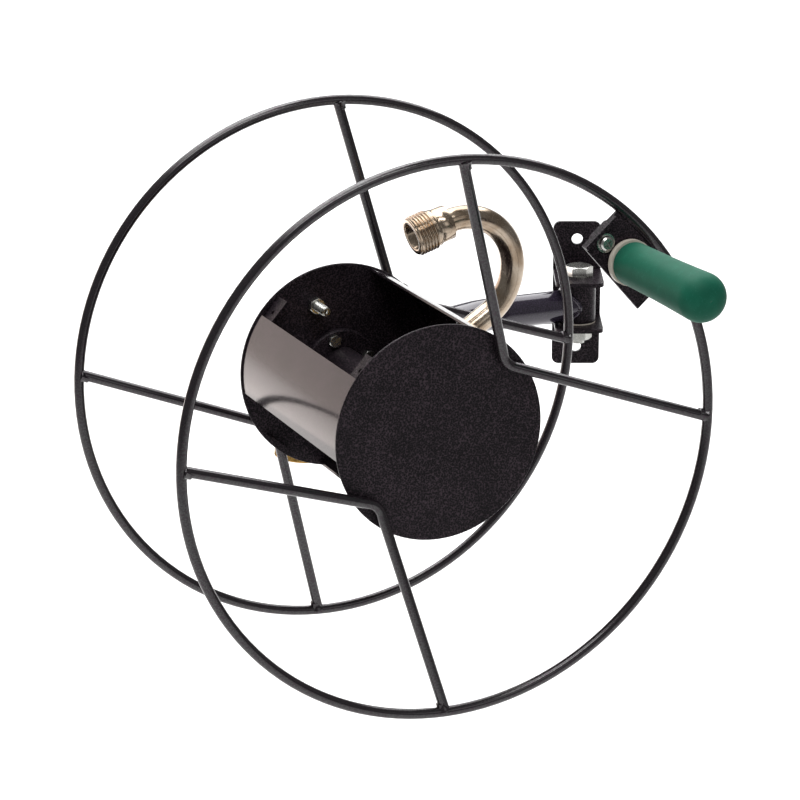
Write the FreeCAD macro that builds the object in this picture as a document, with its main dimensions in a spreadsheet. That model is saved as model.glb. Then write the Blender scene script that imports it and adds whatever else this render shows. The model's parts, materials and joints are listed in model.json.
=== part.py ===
import FreeCAD, Part
import math
import os
import re
import Sketcher
from FreeCAD import Placement, Rotation, Vector

# Wall-mounted swivelling garden hose reel, in millimetres.
# Row frame: origin at the centre of the wall plate's back face, wall in the plane y = 0,
# the reel stands out towards -Y, +X is to the right as one faces the wall, +Z is up.
#
# Three working frames place everything:
#   wall frame  = the row frame;
#   swing frame = origin on the pivot pin at sleeve height, turned by rest_swing about +Z,
#                 with the arm running along its -X;
#   reel frame  = origin on the reel axis in the plane of the front ring, local X to the right
#                 and local Y up as one faces the reel, local Z forward along the axis.
# Clock angles in the reel frame run clockwise from straight up.

SIZES = [
    ("wheels", [
        ("ring_radius", 180.8, "centre line of each wire ring"),
        ("wire_dia", 6.8, "2 gauge wire and its coat"),
        ("ring_spacing", "=front_inset + 2 * disc_sheet + drum_inside + rear_inset", "plane to plane"),
        ("spoke_clock", 46.6, "bisector of the upper right spoke"),
        ("spoke_spread", 90.0, "angle between the two ends of one spoke"),
        ("corner_inset", 11.1, "disc rim to the spoke's unrounded corner"),
        ("spoke_corner", "=disc_radius - corner_inset", "reel axis to that corner"),
        ("spoke_bend", 12.0, "bend radius at the corner"),
        ("lower_turn", 2.0, "degrees that the lower rear spoke sits clockwise of its place"),
        ("weld_reach", 1.0, "how far a spoke end sinks into its ring"),
    ]),
    ("drum", [
        ("disc_radius", 71.1, ""),
        ("disc_sheet", 2.0, ""),
        ("disc_edge", 0.6, "rounding of the disc rim"),
        ("front_inset", 21.5, "front ring plane to the front disc's front face"),
        ("rear_inset", 10.6, "rear disc's back to the rear ring plane"),
        ("drum_inside", 166.5, "gap between the two discs"),
        ("wrap_inset", 1.1, "wrap's outer face inside the disc rim"),
        ("wrap_sheet", 1.5, ""),
        ("window_right", 20.0, "clock angle where the wrap starts"),
        ("window_left", 53.4, "degrees left of the top where the slat starts"),
        ("slat_end", 99.4, "degrees left of the top where the slat ends"),
        ("wrap_end", 167.9, "degrees left of the top where the wrap ends"),
        ("tab_count", 4, "tabs around one disc"),
        ("tab_clock", 48.5, "degrees left of the top of the first tab"),
        ("tab_width", 22.0, ""),
        ("tab_depth", 15.0, ""),
        ("tab_sheet", 1.5, ""),
        ("tab_gap", 0.25, "tab to wrap"),
        ("tab_bite", 0.4, "tab's foot below its inner face"),
        ("rivet_radius", 1.6, ""),
        ("rivet_head", 3.1, ""),
        ("rivet_rise", 1.4, ""),
        ("rivet_tail", 1.6, "shank inside the tab"),
        ("hole_gap", 0.1, "round every rivet, bolt and pin"),
        ("stud_inset", 23.6, "disc rim to the studs"),
        ("stud_circle", "=disc_radius - stud_inset", "radius of the two drum studs"),
        ("stud_clock", 21.0, "degrees left of the top of the first stud"),
        ("stud_count", 2, ""),
        ("stud_radius", 3.0, ""),
        ("stud_reach", 20.0, "thread standing forward of the rear disc"),
        ("stud_flats", 10.0, ""),
        ("stud_head", 4.0, ""),
        ("stud_nut", 5.0, ""),
    ]),
    ("hub", [
        ("axle_radius", 10.0, "fixed water axle"),
        ("axle_bore", 5.5, ""),
        ("run_gap", 0.05, "radial running clearance"),
        ("end_gap", 0.2, "axial running clearance"),
        ("bush_wall", 2.0, ""),
        ("bush_length", 18.0, ""),
        ("hub_wall", 2.1, ""),
        ("hub_edge", 1.0, "chamfer of the flange"),
        ("hub_flange", "=hub_bolt_circle + hub_bolt_edge", "flange radius"),
        ("hub_plate", 5.0, "flange thickness"),
        ("hub_length", "=front_inset + disc_sheet + drum_inside - neck_inset - swivel_length / 2",
         "rear disc to the back of the swivel"),
        ("hub_spigot", 3.8, "hub behind the rear disc"),
        ("hub_bolt_room", 5.85, "hub tube to the bolts"),
        ("hub_bolt_edge", 6.0, "bolts to the flange's rim"),
        ("hub_bolt_circle", "=axle_radius + run_gap + bush_wall + hub_wall + hub_bolt_room", ""),
        ("hub_bolt_clock", 16.0, "degrees left of the top of the first hub bolt"),
        ("hub_bolt_count", 4, ""),
        ("hub_bolt_radius", 2.5, ""),
        ("hub_bolt_flats", 8.0, ""),
        ("hub_bolt_head", 3.5, ""),
        ("hub_nut", 4.0, ""),
        ("bolt_tail", 0.6, "thread past each nut"),
        ("thrust_sheet", 1.5, "thrust washer behind the hub"),
        ("thrust_width", 4.4, ""),
    ]),
    ("outlet", [
        ("neck_inset", 108.0, "front ring plane to the plane of the outlet tube"),
        ("swivel_wall", 9.0, ""),
        ("swivel_radius", "=axle_radius + swivel_wall", ""),
        ("swivel_edge", 1.5, ""),
        ("swivel_length", 28.0, ""),
        ("swivel_boss_wall", 3.55, "boss round the outlet tube"),
        ("swivel_neck", 14.0, "boss beyond the swivel's round body"),
        ("swivel_reach", "=swivel_radius + swivel_neck", "axis to the boss's end"),
        ("swivel_root", 1.0, "boss's foot outside the chamber, passage short of the axle"),
        ("chamber_depth", 3.0, "water chamber round the axle"),
        ("chamber_radius", "=axle_radius + chamber_depth", ""),
        ("chamber_length", 9.0, ""),
        ("port_radius", 3.2, "cross holes in the axle"),
        ("seal_pitch", 18.0, "between the two O-rings"),
        ("seal_wire", 2.2, "O-ring section diameter"),
        ("seal_trim", 0.1, "O-ring drawn inside the axle's skin"),
        ("seal_bed", 0.15, "O-ring groove shallower than its ring"),
        ("groove_width", 2.64, ""),
        ("clip_sheet", 1.2, "retaining ring"),
        ("clip_rise", 3.0, ""),
        ("clip_radius", "=axle_radius + clip_rise", ""),
        ("clip_depth", 1.2, ""),
        ("clip_groove", "=axle_radius - clip_depth", "radius at the bottom of its groove"),
        ("axle_nose", 4.0, "axle ahead of the retaining ring"),
        ("neck_radius", 7.95, "5/8 inch tube"),
        ("neck_wall", 1.4, ""),
        ("neck_clock", 56.5, "where the tube leaves the drum"),
        ("neck_socket", 9.0, "tube inside the boss"),
        ("neck_stand", 16.4, "disc rim to the start of the bend"),
        ("neck_straight", "=disc_radius + neck_stand", "axis to the start of the bend"),
        ("neck_bend", 38.0, ""),
        ("neck_turn", 163.5, "degrees"),
        ("neck_twist", 5.0, "bend turned forward about the straight run"),
        ("neck_hole_gap", 1.6, "round the tube in the wrap"),
        ("hose_thread", 13.45, "outer radius, 3/4 inch garden hose thread"),
        ("thread_depth", 1.1, ""),
        ("thread_pitch", 2.2, ""),
        ("thread_turns", 6, ""),
        ("thread_lead", 1.0, "last crest to the mouth"),
        ("thread_relief", 3.0, "collar to the first crest"),
        ("fitting_wall", 3.65, "plain collar round the tube"),
        ("fitting_length", 27.0, ""),
        ("fitting_step", 0.65, "bore wider than the tube"),
        ("fitting_edge", 0.6, ""),
        ("fitting_socket", 10.0, "how deep the tube sits in the fitting"),
    ]),
    ("arm", [
        ("rest_swing", 23.41, "degrees from straight out of the wall"),
        ("wheel_clear", 40.2, "ring's centre line to the pivot pin"),
        ("arm_reach", "=ring_radius + wheel_clear", "pivot pin to reel axis, sideways"),
        ("wheel_stand", 65.1, "pivot pin to the rear ring plane"),
        ("ring_forward", "=ring_spacing + wheel_stand", "pivot pin to the front ring plane"),
        ("arm_straight", 82.0, "pin to the middle of the arm's bend"),
        ("arm_bend", 60.0, ""),
        ("arm_radius", 12.0, "24 mm tube"),
        ("arm_wall", 2.0, ""),
        ("arm_drop", 2.7, "arm below the middle of the sleeve"),
        ("sleeve_wall", 3.2, ""),
        ("pivot_bush_wall", 4.5, "bush and its clearance round the pin"),
        ("sleeve_bore", "=pin_radius + pivot_bush_wall", ""),
        ("sleeve_radius", "=sleeve_bore + sleeve_wall", ""),
        ("collar_sheet", 1.0, "flange of each pivot bush"),
        ("pivot_bush", 11.0, "length inside the sleeve"),
        ("boss_wall", 7.0, ""),
        ("boss_radius", "=axle_radius + boss_wall", ""),
        ("boss_length", 28.0, ""),
    ]),
    ("inlet", [
        ("elbow_side", 3.0, ""),
        ("elbow_radius", "=axle_radius + elbow_side", ""),
        ("elbow_grip", 8.0, "axle inside the elbow, ahead of the leg"),
        ("elbow_wall", 3.0, "closed end behind the leg"),
        ("leg_turn", 8.0, "degrees left of straight down"),
        ("leg_radius", 8.5, ""),
        ("leg_bore", 5.5, ""),
        ("elbow_way", 7.5, "radius of the passage along the axis"),
        ("leg_length", 60.0, ""),
        ("lip_gap", 0.7, ""),
        ("lip_radius", "=nut_bore - lip_gap", "flange that keeps the nut on"),
        ("lip_sheet", 2.0, ""),
        ("nut_bore", 12.9, ""),
        ("nut_wall", 3.1, ""),
        ("nut_radius", "=nut_bore + nut_wall", ""),
        ("nut_shoulder", 2.5, ""),
        ("nut_edge", 1.0, ""),
        ("flute_radius", 2.6, ""),
        ("flute_out", 1.6, "flute's centre outside the nut"),
        ("nut_depth", 19.0, "lip to mouth"),
        ("nut_top", 3.0, ""),
        ("nut_gap", 0.3, ""),
        ("nut_relief", 0.5, "cup wider than the thread round the lip and washer"),
        ("nut_lobes", 8, ""),
        ("seal_sheet", 2.6, "rubber washer"),
    ]),
    ("wall", [
        ("plate_width", 35.0, ""),
        ("plate_height", 108.0, ""),
        ("plate_sheet", 3.0, ""),
        ("plate_corner", 5.0, ""),
        ("hole_edge", 13.0, "plate's end to a screw hole"),
        ("hole_spacing", "=plate_height - 2 * hole_edge", ""),
        ("hole_radius", 4.1, ""),
        ("pin_out", 27.0, "wall to pivot pin"),
        ("ear_sheet", 3.0, ""),
        ("ear_clear", 1.0, "arm tube to the lower ear"),
        ("ear_gap", "=2 * (arm_radius + arm_drop + ear_clear)", ""),
        ("ear_nose", 23.0, "pivot pin to the ears' front edge"),
        ("ear_depth", "=pin_out - plate_sheet + ear_nose", "plate's front to that edge"),
        ("ear_corner", 6.0, ""),
        ("ear_fold", 1.5, "inside radius of the clevis folds"),
        ("ear_draw", 0.5, "outside of a fold tighter than its inside and sheet"),
        ("sleeve_rise", 0.6, "middle of the sleeve above the plate's centre"),
        ("pin_radius", 5.0, ""),
        ("pin_flats", 18.0, ""),
        ("pin_head", 6.4, ""),
        ("pin_nut", 8.0, ""),
        ("pin_tail", 3.0, "thread below the nut"),
        ("pin_washer_rim", 5.6, ""),
        ("washer_sheet", 1.6, ""),
    ]),
    ("handle", [
        ("bracket_clock", 48.3, ""),
        ("bracket_radial", 33.5, ""),
        ("bracket_gap", 0.6, "screw washer to the folded edge"),
        ("bracket_width", "=2 * (screw_offset + screw_washer + bracket_gap + bracket_sheet)", ""),
        ("bracket_sheet", 2.5, ""),
        ("bracket_front", 1.5, "front face ahead of the ring plane"),
        ("bracket_flange", 6.0, "edge folded forward"),
        ("bracket_stop", 3.0, "folded edge short of the ring"),
        ("grip_inset", 21.7, "ring's centre line to the grip axis"),
        ("grip_circle", "=ring_radius - grip_inset", "reel axis to grip axis"),
        ("screw_beside", 4.6, "grip's side to the screw"),
        ("screw_drop", 3.0, "screw nearer the reel axis than the grip"),
        ("screw_offset", "=grip_radius + screw_beside", "grip axis to the screw"),
        ("screw_radius", 2.5, ""),
        ("screw_head", 5.0, ""),
        ("screw_rise", 3.0, ""),
        ("screw_washer", 6.2, ""),
        ("screw_washer_sheet", 0.9, ""),
        ("screw_nut", 4.0, ""),
        ("screw_tail", 1.0, ""),
        ("screw_flats", 8.0, ""),
        ("foot_sheet", 2.5, "plate behind the bracket"),
        ("foot_width", 18.0, ""),
        ("foot_margin", 2.0, ""),
        ("foot_corner", 3.0, ""),
        ("rod_radius", 4.75, ""),
        ("rod_reach", 96.0, "ring plane to the rod's front end"),
        ("rod_flange", 2.75, ""),
        ("rod_head", "=rod_radius + rod_flange", ""),
        ("rod_edge", 0.8, ""),
        ("head_gap", 0.8, "core round the rod's head"),
        ("rod_head_sheet", 3.0, ""),
        ("collar_radius", 14.9, ""),
        ("collar_rise", 6.0, ""),
        ("collar_slope", 2.5, ""),
        ("collar_foot", 2.5, ""),
        ("core_radius", 11.0, ""),
        ("cover_wall", 4.8, ""),
        ("grip_radius", "=core_radius + cover_wall", "at the closed end"),
        ("grip_taper", 1.1, "slimmer at the open end"),
        ("grip_nose", 13.0, "soft end ahead of the hollow"),
        ("grip_tip", "=rod_reach + grip_slack + grip_nose", "ring plane to the grip's tip"),
        ("grip_round", 13.0, "rounding of the closed end"),
        ("grip_heel", 2.0, "rounding of the open end"),
        ("grip_slack", 2.0, "hollow ahead of the rod's head"),
    ]),
]

doc = FreeCAD.newDocument("hose_reel")
sheet = doc.addObject("Spreadsheet::Sheet", "Sizes")
aliases = set()


def fill_sheet():
    """One row per dimension: name, value or formula, note; the formulas go in once every name exists."""
    row = 1
    formulas = []
    for section, entries in SIZES:
        sheet.set("A%d" % row, section)
        row += 1
        for alias, value, note in entries:
            cell = "B%d" % row
            sheet.set("A%d" % row, alias)
            sheet.set("C%d" % row, note)
            sheet.setAlias(cell, alias)
            aliases.add(alias)
            if isinstance(value, str):
                formulas.append((cell, value))
            else:
                sheet.set(cell, str(value))
            row += 1
    for cell, formula in formulas:
        sheet.set(cell, formula)
    doc.recompute()


fill_sheet()


def bound(text):
    """An expression with every sheet alias in it written as Sizes.alias."""
    return re.sub(r"[a-z_]+", lambda word: "Sizes." + word.group(0) if word.group(0) in aliases
                  else word.group(0), text)


def size(text):
    """The present value of an expression over the sheet."""
    value = sheet.evalExpression(bound(text))
    return float(value)


# ---------------------------------------------------------------- frames

def along(x=0.0, y=0.0, z=0.0):
    return Placement(Vector(x, y, z), Rotation())


def turned(axis, degrees):
    return Placement(Vector(), Rotation(axis, degrees))


X_AXIS = Vector(1, 0, 0)
Y_AXIS = Vector(0, 1, 0)
Z_AXIS = Vector(0, 0, 1)

WALL = Placement()
PIVOT = along(0, -size("pin_out"), size("sleeve_rise"))
SWING = PIVOT.multiply(turned(Z_AXIS, size("rest_swing")))
REEL = SWING.multiply(along(-size("arm_reach"), -size("ring_forward"), -size("arm_drop")))
REEL = REEL.multiply(turned(X_AXIS, 90))


def reel_at(clock=0.0, radius=0.0, axial=0.0):
    """Reel frame turned so that local Y points at a clock angle, then moved out and forward."""
    return REEL.multiply(turned(Z_AXIS, -clock)).multiply(along(0, radius, axial))


# Axial stations in the reel frame; forward is positive.
FRONT_FACE = "-front_inset"
FRONT_BACK = "(-front_inset - disc_sheet)"
REAR_FACE = "(-front_inset - disc_sheet - drum_inside)"
REAR_BACK = "(-front_inset - 2 * disc_sheet - drum_inside)"
HUB_BACK = "(%s - hub_spigot)" % REAR_BACK
BOSS_FRONT = "(%s - thrust_sheet - 2 * end_gap)" % HUB_BACK
BOSS_BACK = "(%s - boss_length)" % BOSS_FRONT
SWIVEL_FRONT = "(-neck_inset + swivel_length / 2)"
SWIVEL_BACK = "(-neck_inset - swivel_length / 2)"
WRAP_RADIUS = "(disc_radius - wrap_inset)"
TAB_RADIUS = "(disc_radius - wrap_inset - wrap_sheet - tab_gap)"

# ---------------------------------------------------------------- modelling helpers


def bind(item, **sizes):
    for name, text in sizes.items():
        item.setExpression(name, bound(text))
    return item


def cylinder(name, radius, height, place=None):
    item = bind(doc.addObject("Part::Cylinder", name), Radius=radius, Height=height)
    item.Placement = place or Placement()
    return item


def cone(name, low_radius, high_radius, height, place=None):
    item = bind(doc.addObject("Part::Cone", name), Radius1=low_radius, Radius2=high_radius, Height=height)
    item.Placement = place or Placement()
    return item


def cut(name, base, tool):
    item = doc.addObject("Part::Cut", name)
    item.Base = base
    item.Tool = tool
    return item


def joined(name, shapes):
    item = doc.addObject("Part::MultiFuse", name)
    item.Shapes = shapes
    return item


def group(name, shapes):
    """Several separate solids that share one node."""
    item = doc.addObject("Part::Compound", name)
    item.Links = shapes
    return item


def tube(name, outer, inner, height):
    """A straight tube standing on local Z = 0."""
    return cut(name, cylinder(name + "_outer", outer, height), cylinder(name + "_inner", inner, height))


def hexagon(name, flats, height):
    """A hexagonal block with the usual chamfer on its upper corners."""
    block = doc.addObject("Part::Prism", name + "_block")
    block.Polygon = 6
    bind(block, Circumradius="%s / sqrt(3)" % flats, Height=height)
    top = "%s * 0.49" % flats
    trim = cone(name + "_trim", "%s + %s * sqrt(3)" % (top, height), top, height)
    item = doc.addObject("Part::Common", name)
    item.Base = block
    item.Tool = trim
    return item


def nut(name, flats, bore, height):
    return cut(name, hexagon(name + "_hexagon", flats, height), cylinder(name + "_bore", bore, height))


def origin_plane(body, role):
    return next(item for item in body.Origin.OriginFeatures if item.Role == role)


def new_body(name):
    body = doc.addObject("PartDesign::Body", name)
    body.Label = name
    return body


def sketch_on(body, name, role, lift=None):
    sketch = body.newObject("Sketcher::SketchObject", name)
    sketch.AttachmentSupport = [(origin_plane(body, role), "")]
    sketch.MapMode = "FlatFace"
    if lift:
        sketch.setExpression("AttachmentOffset.Base.z", bound(lift))
    return sketch


def pin_point(sketch, geometry, end, across, up):
    """Hold one point of a sketch at an expression pair measured from the sketch's origin."""
    for kind, text in (("DistanceX", across), ("DistanceY", up)):
        index = sketch.addConstraint(Sketcher.Constraint(kind, -1, 1, geometry, end, size(text)))
        sketch.setExpression("Constraints[%d]" % index, bound(text))


def outline(sketch, points):
    """A closed outline with straight sides through points given as expression pairs."""
    spots = [Vector(size(across), size(up), 0) for across, up in points]
    first = sketch.GeometryCount
    count = len(points)
    for index in range(count):
        sketch.addGeometry(Part.LineSegment(spots[index], spots[(index + 1) % count]), False)
    for index in range(count):
        following = first + (index + 1) % count
        sketch.addConstraint(Sketcher.Constraint("Coincident", first + index, 2, following, 1))
    for index, (across, up) in enumerate(points):
        pin_point(sketch, first + index, 1, across, up)


def circle(sketch, across, up, radius):
    middle = Vector(size(across), size(up), 0)
    index = sketch.addGeometry(Part.Circle(middle, Z_AXIS, size(radius)), False)
    pin_point(sketch, index, 3, across, up)
    held = sketch.addConstraint(Sketcher.Constraint("Radius", index, size(radius)))
    sketch.setExpression("Constraints[%d]" % held, bound(radius))


def pad(body, name, sketch, length, reverse=False, middle=False):
    item = body.newObject("PartDesign::Pad", name)
    item.Profile = sketch
    bind(item, Length=length)
    item.Reversed = reverse
    item.Midplane = middle
    sketch.Visibility = False
    return item


def pocket_through(body, name, sketch):
    item = body.newObject("PartDesign::Pocket", name)
    item.Profile = sketch
    item.Type = "ThroughAll"
    item.Midplane = True
    return item


def fillet(body, name, base, radius, wanted):
    """Round every edge of the feature that the test picks."""
    doc.recompute()
    edges = ["Edge%d" % (index + 1) for index, edge in enumerate(base.Shape.Edges) if wanted(edge)]
    item = body.newObject("PartDesign::Fillet", name)
    item.Base = (base, edges)
    bind(item, Radius=radius)
    return item


def polar(body, name, feature, count):
    """Repeat a feature round the body's Z axis."""
    item = body.newObject("PartDesign::PolarPattern", name)
    item.Originals = [feature]
    item.Axis = (origin_plane(body, "Z_Axis"), [""])
    item.Angle = 360
    item.setExpression("Occurrences", bound(count))
    body.Tip = item
    return item


def turned_body(name, points):
    """A solid of revolution: points are (radius, height along Z) expression pairs."""
    body = new_body(name)
    sketch = sketch_on(body, name + "_profile", "XZ_Plane")
    outline(sketch, points)
    item = body.newObject("PartDesign::Revolution", name + "_turned")
    item.Profile = sketch
    item.ReferenceAxis = (sketch, ["V_Axis"])
    item.Angle = 360
    return body


def swept(name, path, radius, start):
    """A round bar along a path object; start places a circle square to the path's first end."""
    rim = bind(doc.addObject("Part::Circle", name + "_rim"), Radius=radius)
    rim.Placement = start
    item = doc.addObject("Part::Sweep", name)
    item.Sections = [rim]
    doc.recompute()
    item.Spine = (path, ["Edge%d" % (index + 1) for index in range(len(path.Shape.Edges))])
    item.Solid = True
    item.Frenet = False
    return item


def path_object(name, wire):
    item = doc.addObject("Part::Feature", name)
    item.Shape = wire
    return item


def bent_path(name, start, corner, end, radius):
    """Two straight runs joined by a tangent arc at the corner."""
    back = (start - corner).normalize()
    ahead = (end - corner).normalize()
    half = back.getAngle(ahead) / 2
    setback = radius / math.tan(half)
    bisector = (back + ahead).normalize()
    arc_middle = corner + bisector * (radius / math.sin(half) - radius)
    arc_start = corner + back * setback
    arc_end = corner + ahead * setback
    return path_object(name, Part.Wire([
        Part.LineSegment(start, arc_start).toShape(),
        Part.Arc(arc_start, arc_middle, arc_end).toShape(),
        Part.LineSegment(arc_end, end).toShape(),
    ]))


def facing(point, direction):
    """Placement at a point with local Z along a direction."""
    return Placement(point, Rotation(Z_AXIS, direction))


parts = []


def keep(item, name, place):
    """Record a finished sub-part under its node name and put it in its place."""
    item.Label = name
    item.Placement = place
    parts.append(item)
    return item


# ---------------------------------------------------------------- wall bracket

def wall_plate():
    body = new_body("wall_plate")
    sketch = sketch_on(body, "wall_plate_outline", "XZ_Plane")
    outline(sketch, [("-plate_width / 2", "-plate_height / 2"), ("plate_width / 2", "-plate_height / 2"),
                     ("plate_width / 2", "plate_height / 2"), ("-plate_width / 2", "plate_height / 2")])
    for side in ("-", ""):
        circle(sketch, "0", side + "hole_spacing / 2", "hole_radius")
    slab = pad(body, "wall_plate_slab", sketch, "plate_sheet")
    fillet(body, "wall_plate_corners", slab, "plate_corner", is_corner_along_y)
    keep(body, "wall_plate", WALL)


def is_corner_along_y(edge):
    return edge.Curve.TypeId == "Part::GeomLine" and abs(edge.tangentAt(0).y) > 0.99


def is_line_along_z(edge):
    return edge.Curve.TypeId == "Part::GeomLine" and abs(edge.tangentAt(0).z) > 0.99


def is_line_along_x(edge):
    return edge.Curve.TypeId == "Part::GeomLine" and abs(edge.tangentAt(0).x) > 0.99


def clevis():
    """A U of sheet: web against the plate and two ears for the pivot pin."""
    body = new_body("clevis")
    sketch = sketch_on(body, "clevis_section", "YZ_Plane")
    web = "-plate_sheet"
    inner = "(-plate_sheet - ear_sheet)"
    front = "(-plate_sheet - ear_depth)"
    low = "(sleeve_rise - ear_gap / 2)"
    high = "(sleeve_rise + ear_gap / 2)"
    outline(sketch, [(web, low + " - ear_sheet"), (web, high + " + ear_sheet"),
                     (front, high + " + ear_sheet"), (front, high), (inner, high),
                     (inner, low), (front, low), (front, low + " - ear_sheet")])
    bent = pad(body, "clevis_bent", sketch, "plate_width", middle=True)
    inner_y = size(inner)
    inside = fillet(body, "clevis_folds", bent, "ear_fold", lambda edge:
                    is_line_along_x(edge) and abs(edge.CenterOfMass.y - inner_y) < 0.01)
    web_y = size(web)
    outside = fillet(body, "clevis_backs", inside, "ear_fold + ear_sheet - ear_draw", lambda edge:
                     is_line_along_x(edge) and abs(edge.CenterOfMass.y - web_y) < 0.01)
    front_y = size(front)
    rounded = fillet(body, "clevis_corners", outside, "ear_corner", lambda edge:
                     is_line_along_z(edge) and abs(edge.CenterOfMass.y - front_y) < 0.01)
    body.Tip = rounded
    hole = sketch_on(body, "clevis_pin_hole", "XY_Plane")
    circle(hole, "0", "-pin_out", "pin_radius + hole_gap")
    pocket_through(body, "clevis_pin_holes", hole)
    keep(body, "clevis", WALL)


def pivot_bolt():
    """Head on top; the shank hangs down from the head's underside."""
    length = "(ear_gap + 2 * ear_sheet + 2 * washer_sheet + pin_nut + pin_tail)"
    shank = cylinder("pivot_bolt_shank", "pin_radius", length, along(0, 0, -size(length)))
    tip = joined("pivot_bolt_solid", [hexagon("pivot_bolt_head", "pin_flats", "pin_head"), shank])
    top = size("ear_gap / 2 + ear_sheet + washer_sheet")
    keep(tip, "pivot_bolt", PIVOT.multiply(along(0, 0, top)))


def pivot_hardware():
    half = size("ear_gap / 2 + ear_sheet")
    rim = "pin_radius + pin_washer_rim"
    bore = "pin_radius + hole_gap"
    upper = tube("pivot_washer_upper_ring", rim, bore, "washer_sheet")
    upper.Placement = along(0, 0, half)
    lower = tube("pivot_washer_lower_ring", rim, bore, "washer_sheet")
    lower.Placement = along(0, 0, -half - size("washer_sheet"))
    keep(group("pivot_washers_pair", [upper, lower]), "pivot_washers", PIVOT)
    item = nut("pivot_nut_solid", "pin_flats", "pin_radius", "pin_nut")
    keep(item, "pivot_nut", PIVOT.multiply(along(0, 0, -half - size("washer_sheet"))).multiply(
        turned(X_AXIS, 180)))


# ---------------------------------------------------------------- arm

SLEEVE_LENGTH = "(ear_gap - 2 * end_gap - 2 * collar_sheet)"


def pivot_sleeve():
    item = tube("pivot_sleeve_tube", "sleeve_radius", "sleeve_bore", SLEEVE_LENGTH)
    keep(item, "pivot_sleeve", SWING.multiply(along(0, 0, -size(SLEEVE_LENGTH) / 2)))


def pivot_bush(name, flip):
    """Flanged bush: the flange lies on the sleeve's end, the barrel goes inside."""
    inner = "(pin_radius + run_gap)"
    body = turned_body(name, [(inner, "-pivot_bush"), ("sleeve_bore", "-pivot_bush"), ("sleeve_bore", "0"),
                              ("sleeve_radius", "0"), ("sleeve_radius", "collar_sheet"),
                              (inner, "collar_sheet")])
    half = size(SLEEVE_LENGTH) / 2
    place = SWING.multiply(turned(X_AXIS, flip)).multiply(along(0, 0, half))
    keep(body, name, place)


def arm_tube():
    """Bent tube from the sleeve to the axle boss, its ends coped to both."""
    start = Vector()
    corner = Vector(-size("arm_straight"), 0, 0)
    boss_middle = size("-ring_forward - %s + boss_length / 2" % BOSS_FRONT)
    end = Vector(-size("arm_reach"), boss_middle, 0)
    path = bent_path("arm_path", start, corner, end, size("arm_bend"))
    first = facing(start, Vector(-1, 0, 0))
    hollow = cut("arm_hollow", swept("arm_outer", path, "arm_radius", first),
                 swept("arm_inner", path, "arm_radius - arm_wall", first))
    height = "4 * arm_radius"
    sleeve_tool = cylinder("arm_sleeve_tool", "sleeve_radius", height, along(0, 0, -size(height) / 2))
    boss_tool = cylinder("arm_boss_tool", "boss_radius", height,
                         Placement(end + Vector(0, size(height) / 2, 0), Rotation(X_AXIS, 90)))
    item = cut("arm_coped", hollow, joined("arm_tools", [sleeve_tool, boss_tool]))
    keep(item, "arm_tube", SWING.multiply(along(0, 0, -size("arm_drop"))))


def axle_boss():
    item = tube("axle_boss_tube", "boss_radius", "axle_radius", "boss_length")
    keep(item, "axle_boss", reel_at(axial=size(BOSS_BACK)))


def axle_stations():
    """Named heights of the axle's profile, rear to front."""
    return {
        "rear": "(%s - elbow_grip)" % BOSS_BACK,
        "seal_rear": "(-neck_inset - seal_pitch / 2)",
        "seal_front": "(-neck_inset + seal_pitch / 2)",
        "clip": "(%s + end_gap)" % SWIVEL_FRONT,
        "front": "(%s + end_gap + clip_sheet + axle_nose)" % SWIVEL_FRONT,
    }


def axle_tube():
    """Fixed hollow axle: water enters at the rear, leaves by cross holes under the swivel."""
    at = axle_stations()
    bottom = "(axle_radius - seal_wire + seal_bed)"
    points = [("axle_bore", at["rear"]), ("axle_radius", at["rear"])]
    for station in (at["seal_rear"], at["seal_front"]):
        rear = station + " - groove_width / 2"
        front = station + " + groove_width / 2"
        points += [("axle_radius", rear), (bottom, rear), (bottom, front), ("axle_radius", front)]
    points += [("axle_radius", at["clip"]), ("clip_groove", at["clip"]),
               ("clip_groove", at["clip"] + " + clip_sheet"), ("axle_radius", at["clip"] + " + clip_sheet"),
               ("axle_radius", at["front"]), ("0", at["front"]), ("0", "-neck_inset + chamber_length / 2"),
               ("axle_bore", "-neck_inset + chamber_length / 2")]
    body = turned_body("axle_tube", points)
    port = sketch_on(body, "axle_port", "XZ_Plane")
    circle(port, "0", "-neck_inset", "port_radius")
    pocket_through(body, "axle_port_hole", port)
    keep(body, "axle_tube", reel_at())


def ring_torus(name, middle_radius, wire_radius):
    return bind(doc.addObject("Part::Torus", name), Radius1=middle_radius, Radius2=wire_radius)


def axle_seals():
    rings = []
    section = "(seal_wire / 2 - seal_trim)"
    for index, station in enumerate(("seal_rear", "seal_front")):
        ring = ring_torus("axle_seal_%d" % index, "axle_radius - " + section, section)
        ring.Placement = along(0, 0, size(axle_stations()[station]))
        rings.append(ring)
    keep(group("axle_seal_pair", rings), "axle_seals", reel_at())


def retaining_ring():
    """Open ring in the axle's front groove; it keeps the swivel body on."""
    slot = doc.addObject("Part::Box", "retaining_ring_slot")
    bind(slot, Length="axle_radius", Width="2 * clip_radius", Height="clip_sheet")
    slot.Placement = along(-size("axle_radius / 2"), 0, 0)
    full = tube("retaining_ring_full", "clip_radius", "clip_groove", "clip_sheet")
    item = cut("retaining_ring_open", full, slot)
    keep(item, "retaining_ring", reel_at(clock=180, axial=size(axle_stations()["clip"])))


def thrust_washer():
    item = tube("thrust_washer_ring", "axle_radius + thrust_width", "axle_radius + run_gap", "thrust_sheet")
    keep(item, "thrust_washer", reel_at(axial=size(BOSS_FRONT)))


# ---------------------------------------------------------------- inlet

def leg_frame():
    """Local Z runs down the inlet leg from the reel axis, local Y forward along the axis."""
    middle = size(BOSS_BACK + " - elbow_grip - leg_radius")
    return reel_at(clock=size("leg_turn"), axial=middle).multiply(turned(X_AXIS, 90))


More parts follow.
